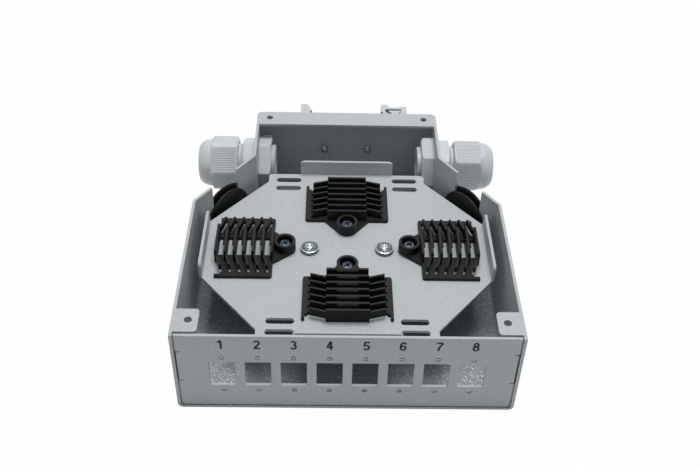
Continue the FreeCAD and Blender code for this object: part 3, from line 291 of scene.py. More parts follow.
def floor_mask(tree):
    """A value that is 1 on the floor of the box and 0 elsewhere."""
    place = add_node(tree, "ShaderNodeTexCoord")
    height = add_node(tree, "ShaderNodeSeparateXYZ")
    low = add_node(tree, "ShaderNodeMath", operation="LESS_THAN")
    low.inputs[1].default_value = FLOOR_TOP
    surface = add_node(tree, "ShaderNodeNewGeometry")
    heading = add_node(tree, "ShaderNodeSeparateXYZ")
    upward = add_node(tree, "ShaderNodeMath", operation="GREATER_THAN")
    upward.inputs[1].default_value = FACING_UP
    both = add_node(tree, "ShaderNodeMath", operation="MULTIPLY")
    tree.links.new(place.outputs["Object"], height.inputs["Vector"])
    tree.links.new(height.outputs["Z"], low.inputs[0])
    tree.links.new(surface.outputs["Normal"], heading.inputs["Vector"])
    tree.links.new(heading.outputs["Z"], upward.inputs[0])
    tree.links.new(low.outputs[0], both.inputs[0])
    tree.links.new(upward.outputs[0], both.inputs[1])
    return both.outputs[0]


print("the floor is below", FLOOR_TOP / MM, "mm")


# %% Powder coats
FLAKE_SCALE, FLAKE_REACH, FLAKE_SHARE = 2000, 0.5, 0.3
# The second colour is painted shade: the coat on the floor of the box is made darker than on the
# walls.
FLAKE_COLOUR, FLOOR_PAINTED_SHADE = shade(246, 249, 250), shade(148, 154, 157)


def add_flakes_and_floor_shade(material, coat_colour, faint):
    """Metal flakes in a coat, whole on the floor of the box and faint elsewhere, and painted
    shade: a darker coat colour on the floor.
    """
    tree = material.node_tree
    shader = tree.nodes["Principled BSDF"]
    flakes = flake_mask(tree, FLAKE_SCALE, FLAKE_REACH, FLAKE_SHARE)
    on_floor = floor_mask(tree)
    strength = add_node(tree, "ShaderNodeMapRange")
    strength.inputs["To Min"].default_value = faint
    strength.inputs["To Max"].default_value = 1.0
    shown = add_node(tree, "ShaderNodeMath", operation="MULTIPLY")
    # On the floor the coat colour is mixed to a darker grey: painted shade.
    painted_floor_shade = add_node(tree, "ShaderNodeMix", data_type="RGBA")
    painted_floor_shade.inputs["B"].default_value = FLOOR_PAINTED_SHADE
    mix = add_node(tree, "ShaderNodeMix", data_type="RGBA")
    mix.inputs["B"].default_value = FLAKE_COLOUR
    tree.links.new(on_floor, strength.inputs["Value"])
    tree.links.new(flakes, shown.inputs[0])
    tree.links.new(strength.outputs["Result"], shown.inputs[1])
    tree.links.new(on_floor, painted_floor_shade.inputs["Factor"])
    tree.links.new(coat_colour, painted_floor_shade.inputs["A"])
    tree.links.new(painted_floor_shade.outputs["Result"], mix.inputs["A"])
    tree.links.new(shown.outputs[0], mix.inputs["Factor"])
    tree.links.new(mix.outputs["Result"], shader.inputs["Base Color"])
    tree.links.new(shown.outputs[0], shader.inputs["Metallic"])


flecked_coat = new_finish("flecked_coat", roughness=0.42, sheen=0.4)
coat_colour = mottle(flecked_coat, shade(179, 185, 188), shade(188, 194, 197), scale=900)
add_flakes_and_floor_shade(flecked_coat, coat_colour, faint=0.2)
pimple(flecked_coat, scale=2600, depth=0.00006, edge=0.0002)

smooth_coat = new_finish("smooth_coat", roughness=0.48, sheen=0.4)
mottle(smooth_coat, shade(180, 186, 189), shade(188, 194, 197), scale=700)
pimple(smooth_coat, scale=2600, depth=0.00005, edge=0.0002)
print("powder coats made")

# %% [markdown]
# ### Metal, plastic and rubber
#
# The pillars and screws are zinc plated. The tray screws are darker on the dish and the side of
# the head, a painted dark reflection, and brighter on the rim and in the recess, a painted
# highlight. The holders' screws are a dark, slightly blue plate, made darker still as painted
# shade for the deep bosses that they sit in. The splice holders are a charcoal plastic with a
# faint sheen, the grommets a matt rubber. The glands and the rail clip are a light grey
# plastic, glossier than the powder coat.

# %% The other finishes
zinc_plate = new_finish("zinc_plate", roughness=0.3, metal=1.0)
mottle(zinc_plate, shade(124, 133, 133), shade(156, 165, 167), scale=700)
pimple(zinc_plate, scale=3000, depth=0.00002, edge=0.0001)

# A darker zinc: a painted dark reflection, for the dish and side of the tray screws.
zinc_painted_dark_reflection = new_finish("zinc_painted_dark_reflection", roughness=0.3, metal=1.0)
mottle(zinc_painted_dark_reflection, shade(92, 101, 100), shade(124, 133, 133), scale=700)
pimple(zinc_painted_dark_reflection, scale=3000, depth=0.00002, edge=0.0001)

# A brighter zinc: a painted highlight, for the rim and recess of the tray screws.
zinc_painted_highlight = new_finish("zinc_painted_highlight", roughness=0.22, metal=1.0)
mottle(zinc_painted_highlight, shade(176, 184, 185), shade(200, 207, 208), scale=700)
pimple(zinc_painted_highlight, scale=3000, depth=0.00002, edge=0.0001)

# This finish is partly the holder screws' own dark, slightly blue plate and partly painted shade:
# its colour is darker to stand in for the shade deep in the holders' bosses.
dark_plate_and_painted_shade = new_finish("dark_plate_and_painted_shade", roughness=0.3, metal=1.0)
mottle(dark_plate_and_painted_shade, shade(70, 78, 90), shade(98, 106, 120), scale=900)
pimple(dark_plate_and_painted_shade, scale=3000, depth=0.00002, edge=0.0001)

holder_plastic = new_finish("holder_plastic", roughness=0.5, sheen=0.25)
mottle(holder_plastic, shade(11, 11, 11), shade(17, 17, 17), scale=260)
pimple(holder_plastic, scale=1800, depth=0.00003, edge=0.00015)

grommet_rubber = new_finish("grommet_rubber", roughness=0.5, sheen=0.22)
mottle(grommet_rubber, shade(13, 13, 14), shade(20, 20, 21), scale=300)
pimple(grommet_rubber, scale=1200, depth=0.00004, edge=0.0002)

gland_plastic = new_finish("gland_plastic", roughness=0.4, sheen=0.5)
gland_shader = gland_plastic.node_tree.nodes["Principled BSDF"]
gland_shader.inputs["Subsurface Weight"].default_value = 0.8
gland_shader.inputs["Subsurface Radius"].default_value = (1.0, 1.0, 1.0)
gland_shader.inputs["Subsurface Scale"].default_value = 0.0028
mottle(gland_plastic, shade(199, 204, 208), shade(205, 210, 214), scale=200)
pimple(gland_plastic, scale=1600, depth=0.00002, edge=0.0003)

clip_plastic = new_finish("clip_plastic", roughness=0.45, sheen=0.45)
mottle(clip_plastic, shade(194, 199, 202), shade(201, 206, 209), scale=220)
pimple(clip_plastic, scale=1500, depth=0.00002, edge=0.0003)

print_ink = new_finish("print_ink", roughness=0.6, sheen=0.3)
mottle(print_ink, shade(26, 26, 28), shade(40, 40, 42), scale=2500)
pimple(print_ink, scale=3000, depth=0.00001)
print("finishes made:", len(bpy.data.materials))

# %% [markdown]
# ### Dressing the CAD nodes
#
# The folded shell, the tray and its pillars, the holders, the lock nuts and the clip have the
# right shape in the CAD model and stay as they are. Each node could be dressed by hand, but its
# name says what it is, so a table from the start of a name to a finish does it. The first match
# counts, which is why gland_seal stands before gland_.

# %% The CAD nodes get their finishes
NODE_FINISHES = (("housing_shell", flecked_coat), ("front_panel", smooth_coat),
                 ("splice_tray", smooth_coat), ("tray_standoff", zinc_plate),
                 ("tray_screw", zinc_plate), ("splice_holder", holder_plastic),
                 ("holder_screw", dark_plate_and_painted_shade), ("cable_grommet", grommet_rubber),
                 ("gland_seal", grommet_rubber), ("gland_", gland_plastic),
                 ("rail_clip_screw", dark_plate_and_painted_shade), ("rail_clip", clip_plastic))
for name, node in frame["nodes"].items():
    finish = next(look for start, look in NODE_FINISHES if name.startswith(start))
    for place in node.material_slots:
        place.material = finish
    if not node.material_slots:
        node.data.materials.append(finish)
print("dressed", len(frame["nodes"]), "nodes")


# %% [markdown]
# ## Modelling helpers
#
# Most of the small pieces are turned: a half section is drawn point by point and spun round
# the Z axis. They are modelled upright at the origin, where sizes are easy to read, and then
# moved to their place. At the end the move is applied, so the object's origin is the frame's.

# %% Selecting, drawing, turning on a lathe, cutting
def only(piece):
    """Select one object and make it active."""
    bpy.ops.object.select_all(action="DESELECT")
    piece.select_set(True)
    bpy.context.view_layer.objects.active = piece


def draw_line(name, points):
    """Draw a line of (across, up) points in mm in the XZ plane, and stay in edit mode."""
    bpy.ops.object.select_all(action="DESELECT")
    bpy.ops.mesh.primitive_plane_add(size=MM, location=(0, 0, 0))
    piece = bpy.context.active_object
    piece.name = name
    bpy.ops.object.mode_set(mode="EDIT")
    bpy.ops.mesh.merge(type="CENTER")
    first = points[0]
    bpy.ops.transform.translate(value=(first[0] * MM, 0, first[1] * MM))
    for before, after in zip(points, points[1:]):
        step = ((after[0] - before[0]) * MM, 0, (after[1] - before[1]) * MM)
        bpy.ops.mesh.extrude_vertices_move(TRANSFORM_OT_translate={"value": step})
    bpy.ops.mesh.select_all(action="SELECT")
    return piece


def turn_on_lathe(name, profile, steps=64):
    """Spin a half section of (radius, height) points in mm round Z, and close it."""
    piece = draw_line(name, profile)
    bpy.ops.mesh.spin(steps=steps, angle=2 * pi, center=(0, 0, 0), axis=(0, 0, 1))
    bpy.ops.mesh.select_all(action="SELECT")
    bpy.ops.mesh.remove_doubles(threshold=MM / 1000)
    bpy.ops.mesh.normals_make_consistent(inside=False)
    bpy.ops.object.mode_set(mode="OBJECT")
    return piece


def turned_plug(name, radius, low, high):
    """A plain turned cylinder, to bore a hole with."""
    return turn_on_lathe(name, [(0, low), (radius, low), (radius, high), (0, high)])


def cut(piece, tool, operation="DIFFERENCE"):
    """Cut one object with another, which is used up."""
    only(piece)
    bpy.ops.object.modifier_add(type="BOOLEAN")
    step = piece.modifiers[-1]
    step.operation = operation
    step.solver = "EXACT"
    step.object = tool
    bpy.ops.object.modifier_apply(modifier=step.name)
    bpy.data.objects.remove(tool)


def join(name, pieces):
    """Join several objects into one."""
    bpy.ops.object.select_all(action="DESELECT")
    for piece in pieces:
        piece.select_set(True)
    bpy.context.view_layer.objects.active = pieces[0]
    bpy.ops.object.join()
    joined = bpy.context.active_object
    joined.name = name
    return joined


def copy_of(piece, name):
    """A copy with a mesh of its own."""
    only(piece)
    bpy.ops.object.duplicate(linked=False)
    copied = bpy.context.active_object
    copied.name = name
    return copied


def put(piece, matrix, finish, body, nodes):
    """Move a finished piece to its place, dress it and let it stand for its CAD nodes.

    Without a finish the piece keeps the materials that it has.
    """
    only(piece)
    piece.matrix_world = matrix
    bpy.ops.object.transform_apply(location=True, rotation=True, scale=True)
    bpy.ops.object.shade_smooth_by_angle(angle=radians(35))
    if finish:
        piece.data.materials.clear()
        piece.data.materials.append(finish)
    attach(piece, body)
    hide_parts(*nodes)
    return piece


def place_at(x, y, z):
    """A place in mm, upright."""
    return Matrix.Translation(Vector((x, y, z)) * MM)


print("helpers ready")


# %% [markdown]
# ## The front panel
#
# At each end the panel's sheet is bent back into a tab that lies along the side wall. The bend
# leaves an open, dark gap between the tab and the wall, two ticks long. A dark stripe could be
# painted there, but it would stay dark in any light. The CAD panel has the tab and the ticks,
# so a copy of it is kept, and a thin box opens the gap at each end.

# %% The panel with its open bends
BODY_HALF, SHEET = 65.0, 1.2
PANEL_FACE = -71.7
WALL_INSIDE = BODY_HALF - SHEET
TAB_LOW, TAB_HIGH = 15.7, 31.1
GAP_WIDE, GAP_DEEP = 0.6, 3.0


def open_bend(piece, sign):
    """Take a thin box out of the panel between its tab and the side wall."""
    bpy.ops.object.select_all(action="DESELECT")
    bpy.ops.mesh.primitive_cube_add(
        size=1, location=Vector((sign * WALL_INSIDE, PANEL_FACE, (TAB_LOW + TAB_HIGH) / 2)) * MM)
    box = bpy.context.active_object
    bpy.ops.transform.resize(
        value=(2 * GAP_WIDE * MM, 2 * GAP_DEEP * MM, (TAB_HIGH - TAB_LOW) * MM))
    bpy.ops.object.transform_apply(location=True, rotation=True, scale=True)
    cut(piece, box)


port_panel = copy_of(frame["nodes"]["front_panel"], "port_panel")
del port_panel["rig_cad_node"]
bpy.ops.object.mode_set(mode="EDIT")
bpy.ops.mesh.select_all(action="SELECT")
bpy.ops.mesh.remove_doubles(threshold=MM / 1000)
bpy.ops.object.mode_set(mode="OBJECT")
for sign in (-1, 1):
    open_bend(port_panel, sign)
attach(port_panel, "housing")
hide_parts("front_panel")
print(port_panel.name, len(port_panel.data.polygons), "faces")


# %% [markdown]
# ## Cable glands
#
# Each gland is a threaded body with a hexagon outside the wall, and a nut with a rounded cap
# that squeezes a rubber sleeve round the cable. The hexagons are turned at their ends, which
# leaves the curved chamfers that every nut has. A hexagonal bar cut to the shape of a turned
# blank gives exactly that, just as in the machine. The nut's flats have fine ribs for grip.

# %% Gland sizes
WALL_X = 42.0
GLAND_Y, GLAND_Z = 56.0, 22.0
COLLAR_LONG, NECK_LONG, GRIP_LONG, CAP_LONG, THREAD_LONG = 5.9, 2.6, 12.6, 5.8, 7.5
LOCK_NUT_LONG, END_LONG = 5.8, 1.9
NUT_LOW = COLLAR_LONG + NECK_LONG
GRIP_HIGH = NUT_LOW + GRIP_LONG
NUT_HIGH = GRIP_HIGH + CAP_LONG
THREAD_TOP = NUT_LOW + THREAD_LONG
INSIDE = -(SHEET + LOCK_NUT_LONG + END_LONG)
FLATS = 22.0
TOP_THREAD, WALL_THREAD, THREAD_DEEP = 9.4, 9.3, 0.62

# Which way each gland points, and how far its hexagons are turned, in degrees
GLANDS = {"left": {"sign": -1, "body": 28.6, "nut": 13.2},
          "right": {"sign": 1, "body": 44.0, "nut": 44.0}}


def gland_place(side, corner_angle):
    """Where a gland piece stands: its Z outward, its X towards a corner of the hexagon."""
    sign = GLANDS[side]["sign"]
    outward = Vector((sign, 0, 0))
    corner = Vector((0, -cos(radians(corner_angle)), sin(radians(corner_angle))))
    turn = Matrix((corner, outward.cross(corner), outward)).transposed()
    seat = Vector((sign * WALL_X, GLAND_Y, GLAND_Z)) * MM
    return Matrix.Translation(seat) @ turn.to_4x4()


print("gland axis", WALL_X, GLAND_Y, GLAND_Z)


# %% Hexagons with turned ends
BLANK_PAST = 0.4


def turned_hexagon(name, low, high, low_turn, high_turn, flats=FLATS):
    """A hexagonal bar cut to a turned blank, with a chamfer height for each end."""
    middle = (low + high) / 2 * MM
    corner = flats / 2 / cos(radians(30))
    bpy.ops.object.select_all(action="DESELECT")
    bpy.ops.mesh.primitive_cylinder_add(vertices=6, radius=corner * MM,
                                        depth=(high - low) * MM, location=(0, 0, middle),
                                        rotation=(0, 0, radians(30)))
    bpy.ops.object.transform_apply(location=True, rotation=True, scale=True)
    bar = bpy.context.active_object
    bar.name = name
    inner = flats / 2 + BLANK_PAST
    outer = corner + BLANK_PAST
    profile = [(0, low - 1), (inner, low - 1), (inner, low), (outer, low + low_turn),
               (outer, high - high_turn), (inner, high), (inner, high + 1), (0, high + 1)]
    if not low_turn:
        profile[1:4] = [(outer, low - 1), (outer, low)]
    blank = turn_on_lathe(name + "_blank", profile, steps=96)
    cut(bar, blank, "INTERSECT")
    return bar


print("hexagons", FLATS, "mm across flats")


# %% [markdown]
# ### Threads
#
# A thread is one ridge that climbs round the body. A bump texture would be cheaper, but the
# ridge shows in the outline, so it is modelled: the Screw modifier turns a small triangle round
# the axis while it lifts it by one pitch each turn. Only the stretch between the hexagon and the
# nut and the end inside the box are seen.

# %% A thread ridge
PITCH = 1.5


def thread_ridge(name, crest, low, turns, deep=THREAD_DEEP, pitch=PITCH, steps=64):
    """A triangular ridge that winds up from one height, with closed ends."""
    bpy.ops.object.select_all(action="DESELECT")
    bpy.ops.mesh.primitive_circle_add(vertices=3, radius=deep * MM,
                                      fill_type="NOTHING", location=(0, 0, 0),
                                      rotation=(pi / 2, 0, 0))
    ridge = bpy.context.active_object
    ridge.name = name
    bpy.ops.object.transform_apply(location=False, rotation=True, scale=False)
    bpy.ops.object.mode_set(mode="EDIT")
    bpy.ops.mesh.select_all(action="SELECT")
    bpy.ops.transform.rotate(value=-pi / 2, orient_axis="Y", center_override=(0, 0, 0))
    bpy.ops.object.mode_set(mode="OBJECT")
    reach = max(v.co.x for v in ridge.data.vertices)
    bpy.ops.object.mode_set(mode="EDIT")
    bpy.ops.transform.translate(value=(crest * MM - reach, 0, low * MM))
    bpy.ops.object.mode_set(mode="OBJECT")
    bpy.ops.object.modifier_add(type="SCREW")
    wind = ridge.modifiers[-1]
    wind.axis = "Z"
    wind.screw_offset = pitch * MM
    wind.iterations = turns
    wind.steps = steps
    wind.render_steps = steps
    bpy.ops.object.modifier_apply(modifier=wind.name)
    bpy.ops.object.mode_set(mode="EDIT")
    bpy.ops.mesh.select_all(action="SELECT")
    bpy.ops.mesh.fill_holes(sides=4)
    bpy.ops.mesh.normals_make_consistent(inside=False)
    bpy.ops.object.mode_set(mode="OBJECT")
    return ridge


print("thread pitch", PITCH, "mm")


# %% [markdown]
# ### The gland body
#
# The body holds the gland in the wall: a tube with a thread at each end, and a hexagon for the
# spanner. The pieces could simply be joined, but the plastic lets some light in, and shells that
# overlap cast dark patches inside each other. So they are united into one closed skin.

# %% Gland bodies
def make_gland_body(side):
    """Threaded tube with a hexagon against the wall."""
    root, wall_root = TOP_THREAD - THREAD_DEEP, WALL_THREAD - THREAD_DEEP
    bore, mouth, mouth_floor = 5.0, 7.3, COLLAR_LONG + 1
    tube = turn_on_lathe("tube", [
        (bore, INSIDE), (wall_root - 0.4, INSIDE), (wall_root, INSIDE + 0.4),
        (wall_root, -0.2), (root, 0.2), (root, THREAD_TOP), (mouth, THREAD_TOP),
        (mouth, mouth_floor), (bore, mouth_floor), (bore, INSIDE)])
    collar = turned_hexagon("collar", 0.0, COLLAR_LONG, low_turn=0.0, high_turn=0.9)
    cut(collar, turned_plug("collar_bore", 8.0, -1, COLLAR_LONG + 1))
    cut(tube, collar, "UNION")
    cut(tube, thread_ridge("outer_thread", TOP_THREAD, COLLAR_LONG - 0.6, turns=3), "UNION")
    cut(tube, thread_ridge("inner_thread", WALL_THREAD, INSIDE + 0.7, turns=2), "UNION")
    tube.name = "gland_tube_" + side
    return put(tube, gland_place(side, GLANDS[side]["body"]), gland_plastic,
               "housing", ["gland_body_" + side])


for side in GLANDS:
    tube = make_gland_body(side)
    print(tube.name, len(tube.data.polygons), "faces")


# %% [markdown]
# ### The dome nut
#
# The cap is turned, with a smooth curve from its rim to the mouth. The rim is narrower than the
# grip is across its corners, which leaves a small shoulder at each. The ribs are thin bars,
# half sunk in the flats and side by side from corner to corner. They catch the light along the
# top of the nut, which a bump texture wouldn't do.

# %% Dome nuts
GRIP_FLATS = 21.5
CAP_STEPS = 12
RIB_COUNT, RIB_STEP, RIB_RADIUS, RIB_PROUD = 15, 0.82, 0.34, 0.28
RIB_LOW, RIB_HIGH = NUT_LOW + 0.9, GRIP_HIGH - 0.9


def make_cap():
    """Turned part of the nut: the cap, the mouth and the bore."""
    rim, under_grip, bend, mouth, bore = 10.95, 10.3, 4.1, 5.3, 9.45
    rise = NUT_HIGH - GRIP_HIGH
    profile = [(bore, NUT_LOW + 0.2), (under_grip, NUT_LOW + 0.2),
               (under_grip, GRIP_HIGH - 0.8), (rim, GRIP_HIGH - 0.8), (rim, GRIP_HIGH)]
    for index in range(1, CAP_STEPS + 1):
        angle = radians(90 * index / CAP_STEPS)
        profile.append((rim - bend * (1 - cos(angle)), GRIP_HIGH + rise * sin(angle)))
    profile += [(mouth + 0.4, NUT_HIGH), (mouth, NUT_HIGH - 0.4), (mouth, NUT_HIGH - 2.2),
                (bore, THREAD_TOP), (bore, NUT_LOW + 0.2)]
    return turn_on_lathe("cap", profile, steps=96)


def make_ribs():
    """A row of thin bars across each flat, half sunk in it."""
    ribs = []
    for flat in range(6):
        facing = radians(60 * flat + 30)
        for index in range(RIB_COUNT):
            across = (index - (RIB_COUNT - 1) / 2) * RIB_STEP
            out_from_axis = GRIP_FLATS / 2 - RIB_RADIUS + RIB_PROUD
            place = (out_from_axis * cos(facing) - across * sin(facing),
                     out_from_axis * sin(facing) + across * cos(facing),
                     (RIB_LOW + RIB_HIGH) / 2)
            bpy.ops.object.select_all(action="DESELECT")
            bpy.ops.mesh.primitive_cylinder_add(
                vertices=8, radius=RIB_RADIUS * MM, depth=(RIB_HIGH - RIB_LOW) * MM,
                location=Vector(place) * MM)
            bpy.ops.object.transform_apply(location=True, rotation=True, scale=True)
            ribs.append(bpy.context.active_object)
    return join("ribs", ribs)


def make_dome_nut():
    """Cap, grip and ribs as one upright nut."""
    grip = turned_hexagon("grip", NUT_LOW, GRIP_HIGH, low_turn=0.8, high_turn=1.6,
                          flats=GRIP_FLATS)
    cut(grip, turned_plug("grip_bore", 9.6, NUT_LOW - 1, GRIP_HIGH + 1))
    cut(grip, make_ribs(), "UNION")
    cut(grip, make_cap(), "UNION")
    return grip


upright_nut = make_dome_nut()
for side in GLANDS:
    nut = copy_of(upright_nut, "gland_cap_nut_" + side)
    put(nut, gland_place(side, GLANDS[side]["nut"]), gland_plastic,
        "gland_nut_" + side, ["gland_dome_nut_" + side])
    print(nut.name, len(nut.data.polygons), "faces")
bpy.data.objects.remove(upright_nut)


# %% [markdown]
# ### Rubber sleeves
#
# The sleeve sits in the body's mouth, under the cap, and closes round the cable when the nut is
# turned. It is hidden from the front, but its nose shows in the mouth of the nut from the side.
# A plain ring would do for the hidden part; one turned profile gives ring and nose at once.

# %% Sleeves
def make_sleeve(side):
    """Turned rubber sleeve with a rounded nose."""
    outer, bore, nose = 7.25, 4.0, THREAD_TOP + 4.0
    sleeve = turn_on_lathe("sleeve", [
        (bore, COLLAR_LONG + 1), (outer, COLLAR_LONG + 1), (outer, THREAD_TOP),
        (outer - 0.5, THREAD_TOP + 2), (outer - 1.2, nose - 0.6), (outer - 1.9, nose),
        (bore + 0.4, nose), (bore, nose - 0.5), (bore, COLLAR_LONG + 1)])
    sleeve.name = "gland_sleeve_" + side
    return put(sleeve, gland_place(side, 0), grommet_rubber, "housing",
               ["gland_seal_" + side])


for side in GLANDS:
    print(make_sleeve(side).name, "made")


# %% [markdown]
# ## Grommets
#
# A blank rubber grommet closes the notch in each angled wall. It could be built from three
# discs, but one turned profile has no seams: a wide flange outside, a groove for the sheet, a
# narrower flange inside with a rounded edge, and a flat closed face. The rounded edge is what
# catches a line of light.

# %% Grommets
SIDE_END = Vector((BODY_HALF, 5.0))
NECK_START = Vector((WALL_X, 37.5))
NOTCH_SHIFT, NOTCH_RISE = 19.2, 18.8


def make_grommet(side, sign):
    """Turned grommet whose Z points into the box."""
    outer, groove, inner = 15.7, 8.15, 13.9
    play, lip, edge = 0.025, 1.0, 0.45
    back, wall_out = -SHEET - play - lip, -SHEET - play
    face = play + lip
    profile = [(0, back), (outer - edge, back), (outer - 0.13, back + 0.13),
               (outer, back + edge), (outer, wall_out), (groove, wall_out), (groove, play),
               (inner, play), (inner, face - edge), (inner - 0.07, face - 0.22),
               (inner - 0.22, face - 0.07), (inner - edge, face), (0, face)]
    grommet = turn_on_lathe("wall_grommet_" + side, profile, steps=96)
    along = (NECK_START - SIDE_END).normalized()
    on_wall = SIDE_END + along * NOTCH_SHIFT
    inward = Vector((-along.y, along.x))
    seat = on_wall + inward * SHEET
    heading = Vector((sign * inward.x, inward.y, 0))
    up = Vector((0, 0, 1))
    turn = Matrix((up, heading.cross(up), heading)).transposed()
    place = Vector((sign * seat.x, seat.y, NOTCH_RISE)) * MM
    return put(grommet, Matrix.Translation(place) @ turn.to_4x4(), grommet_rubber,
               "housing", ["cable_grommet_" + side])


for side, sign in (("left", -1), ("right", 1)):
    print(make_grommet(side, sign).name, "made")


# %% [markdown]
# ## Screws
#
# A pan head screw is turned as well. Its cross could be a dark mark, but the walls of a real
# recess catch the light, so it is cut out of the head. The recess tapers, and the cutter is a
# cross of two wedges: four-sided cones with their tips cut off, stretched to long bars. The
# tray screws have a low, dished head with a painted highlight on its rim, and a second, smaller
# cross makes their recess a star.

# %% Screw heads
# A bar's size at its foot, as a share of its size at the face, and how far it stands out in mm
TAPER, OVER = 0.5, 0.3
CROWN_STEPS = 6


def cross_cutter(across, wide, deep, level, angles=(0, 90)):
    """Tapered bars that stand in a cross over a screw head."""
    bars = []
    top = TAPER + (1 - TAPER) * (deep + OVER) / deep
    for angle in angles:
        bpy.ops.object.select_all(action="DESELECT")
        bpy.ops.mesh.primitive_cone_add(
            vertices=4, radius1=TAPER * MM / sin(pi / 4) / 2, radius2=top * MM / sin(pi / 4) / 2,
            depth=(deep + OVER) * MM, location=(0, 0, (level + (OVER - deep) / 2) * MM),
            rotation=(0, 0, pi / 4))
        bar = bpy.context.active_object
        bpy.ops.object.transform_apply(location=False, rotation=True, scale=False)
        bpy.ops.transform.resize(value=(across, wide, 1))
        bpy.ops.transform.rotate(value=radians(angle), orient_axis="Z",
                                 center_override=(0, 0, 0))
        bpy.ops.object.transform_apply(location=True, rotation=True, scale=True)
        bars.append(bar)
    return bars


def make_screw(name, head, rise, shank, length, recess, arm, deep, dish=0.0):
    """Pan head screw with a cross recess, its head's underside at height 0."""
    profile = [(0, -length), (shank - 0.3, -length), (shank, -length + 0.4), (shank, 0),
               (head - 0.15, 0), (head, 0.15)]
    if dish:
        profile += [(head, rise - 0.35), (head - 0.1, rise - 0.1), (head - 0.3, rise),
                    (head - 0.5, rise), (head - 0.7, rise - dish * 0.25),
                    (head - 1.0, rise - dish * 0.75), (head - 1.5, rise - dish),
                    (0, rise - dish)]
    else:
        profile.append((head, rise * 0.4))
        for index in range(1, CROWN_STEPS + 1):
            angle = radians(90 * index / CROWN_STEPS)
            profile.append((head * (0.55 + 0.45 * cos(angle)),
                            rise * (0.4 + 0.6 * sin(angle))))
        profile.append((0, rise))
    screw = turn_on_lathe(name, profile, steps=48)
    for bar in cross_cutter(recess, arm, deep, rise - dish):
        cut(screw, bar)
    return screw


print("recess taper", TAPER)


# %% The tray screw, and the head that the small screws share
TRAY_HEAD, TRAY_RISE, TRAY_DISH = 3.9, 1.7, 0.75
RIM_WIDE, RIM_DEEP, HAIR = 0.6, 0.1, 0.01
STAR = {"across": 3.4, "wide": 0.6, "deep": 0.5, "angles": (45, 135)}
SMALL_HEAD = {"head": 2.8, "recess": 3.3, "arm": 0.75, "deep": 1.0}


def make_tray_pattern():
    """Low dished head with a star recess, with a painted highlight on its rim and in the recess,
    and a painted dark reflection elsewhere.
    """
    dish_floor = TRAY_RISE - TRAY_DISH
    pattern = make_screw("tray_pattern", TRAY_HEAD, TRAY_RISE, shank=1.95, length=8.0,
                         recess=5.2, arm=0.8, deep=0.9, dish=TRAY_DISH)
    for bar in cross_cutter(**STAR, level=dish_floor):
        cut(pattern, bar)
    # Rim and recess faces get the brighter zinc, a painted highlight; the other faces get the
    # darker zinc, a painted dark reflection.
    pattern.data.materials.append(zinc_painted_dark_reflection)
    pattern.data.materials.append(zinc_painted_highlight)
    for face in pattern.data.polygons:
        out_from_axis, height = face.center.xy.length / MM, face.center.z / MM
        on_rim = height > TRAY_RISE - RIM_DEEP and out_from_axis > TRAY_HEAD - RIM_WIDE
        in_recess = HAIR < height < dish_floor - HAIR and out_from_axis < TRAY_HEAD - 1
        face.material_index = 1 if on_rim or in_recess else 0
    return pattern


print("small head", SMALL_HEAD)


# %% [markdown]
# Two screws hold the tray on its pillars, and one sits deep in the boss of each holder. Each
# kind is modelled once and copied to its spots, so that a change to one changes all of them.

# %% Screws in their places
TRAY_Y, TRAY_TOP = -10.7, 27.4
TRAY_SCREW_X = 15.6
BOSS_FLOOR = TRAY_TOP + 1.8
BOSS_X, BOSS_Y = 25.8, 12.9
HOLDER_TURN = Matrix.Rotation(radians(30), 4, "Z")


def make_screws(pattern, node_start, spots, finish, turn=Matrix.Identity(4)):
    """Copy one upright screw to each of its spots."""
    for label, (x, y, z) in spots.items():
        screw = copy_of(pattern, node_start.replace("screw", "fixing") + "_" + label)
        put(screw, place_at(x, y, z) @ turn, finish, "housing",
            [node_start + "_" + label])
        print(screw.name, len(screw.data.polygons), "faces")
    bpy.data.objects.remove(pattern)


make_screws(make_tray_pattern(), "tray_screw",
            {"left": (-TRAY_SCREW_X, TRAY_Y, TRAY_TOP),
             "right": (TRAY_SCREW_X, TRAY_Y, TRAY_TOP)},
            None)
make_screws(make_screw("holder_pattern", **SMALL_HEAD, rise=2.0, shank=1.45, length=5.0),
            "holder_screw",
            {"front": (0, TRAY_Y - BOSS_Y, BOSS_FLOOR), "rear": (0, TRAY_Y + BOSS_Y, BOSS_FLOOR),
             "left": (-BOSS_X, TRAY_Y, BOSS_FLOOR), "right": (BOSS_X, TRAY_Y, BOSS_FLOOR)},
            dark_plate_and_painted_shade, HOLDER_TURN)

# %% [markdown]
# Two longer screws hold the rail clip. Their heads are sunk in the clip at the back, and their
# threaded tips stand out of the rear wall inside the box, where the picture shows them, so
# these two get a real thread. The upright screw is laid down with its head to the rear.

# %% Rail clip screws
CLIP_HEAD_Y, CLIP_SCREW_X, CLIP_SCREW_Z = 75.2, 10.4, 20.6
CLIP_SHANK, CLIP_ROOT, CLIP_LONG = 1.5, 1.28, 7.4
CLIP_PITCH, CLIP_TURNS, CLIP_THREAD_DEEP = 0.6, 9, 0.26

clip_pattern = make_screw("clip_shank", **SMALL_HEAD, rise=2.1, shank=CLIP_ROOT,
                          length=CLIP_LONG)
clip_thread = thread_ridge("clip_thread", CLIP_SHANK, -CLIP_LONG + 0.6, CLIP_TURNS,
                           CLIP_THREAD_DEEP, CLIP_PITCH, steps=32)
make_screws(join("clip_pattern", [clip_pattern, clip_thread]), "rail_clip_screw",
            {"left": (-CLIP_SCREW_X, CLIP_HEAD_Y, CLIP_SCREW_Z),
             "right": (CLIP_SCREW_X, CLIP_HEAD_Y, CLIP_SCREW_Z)},
            zinc_plate, Matrix.Rotation(-pi / 2, 4, "X"))


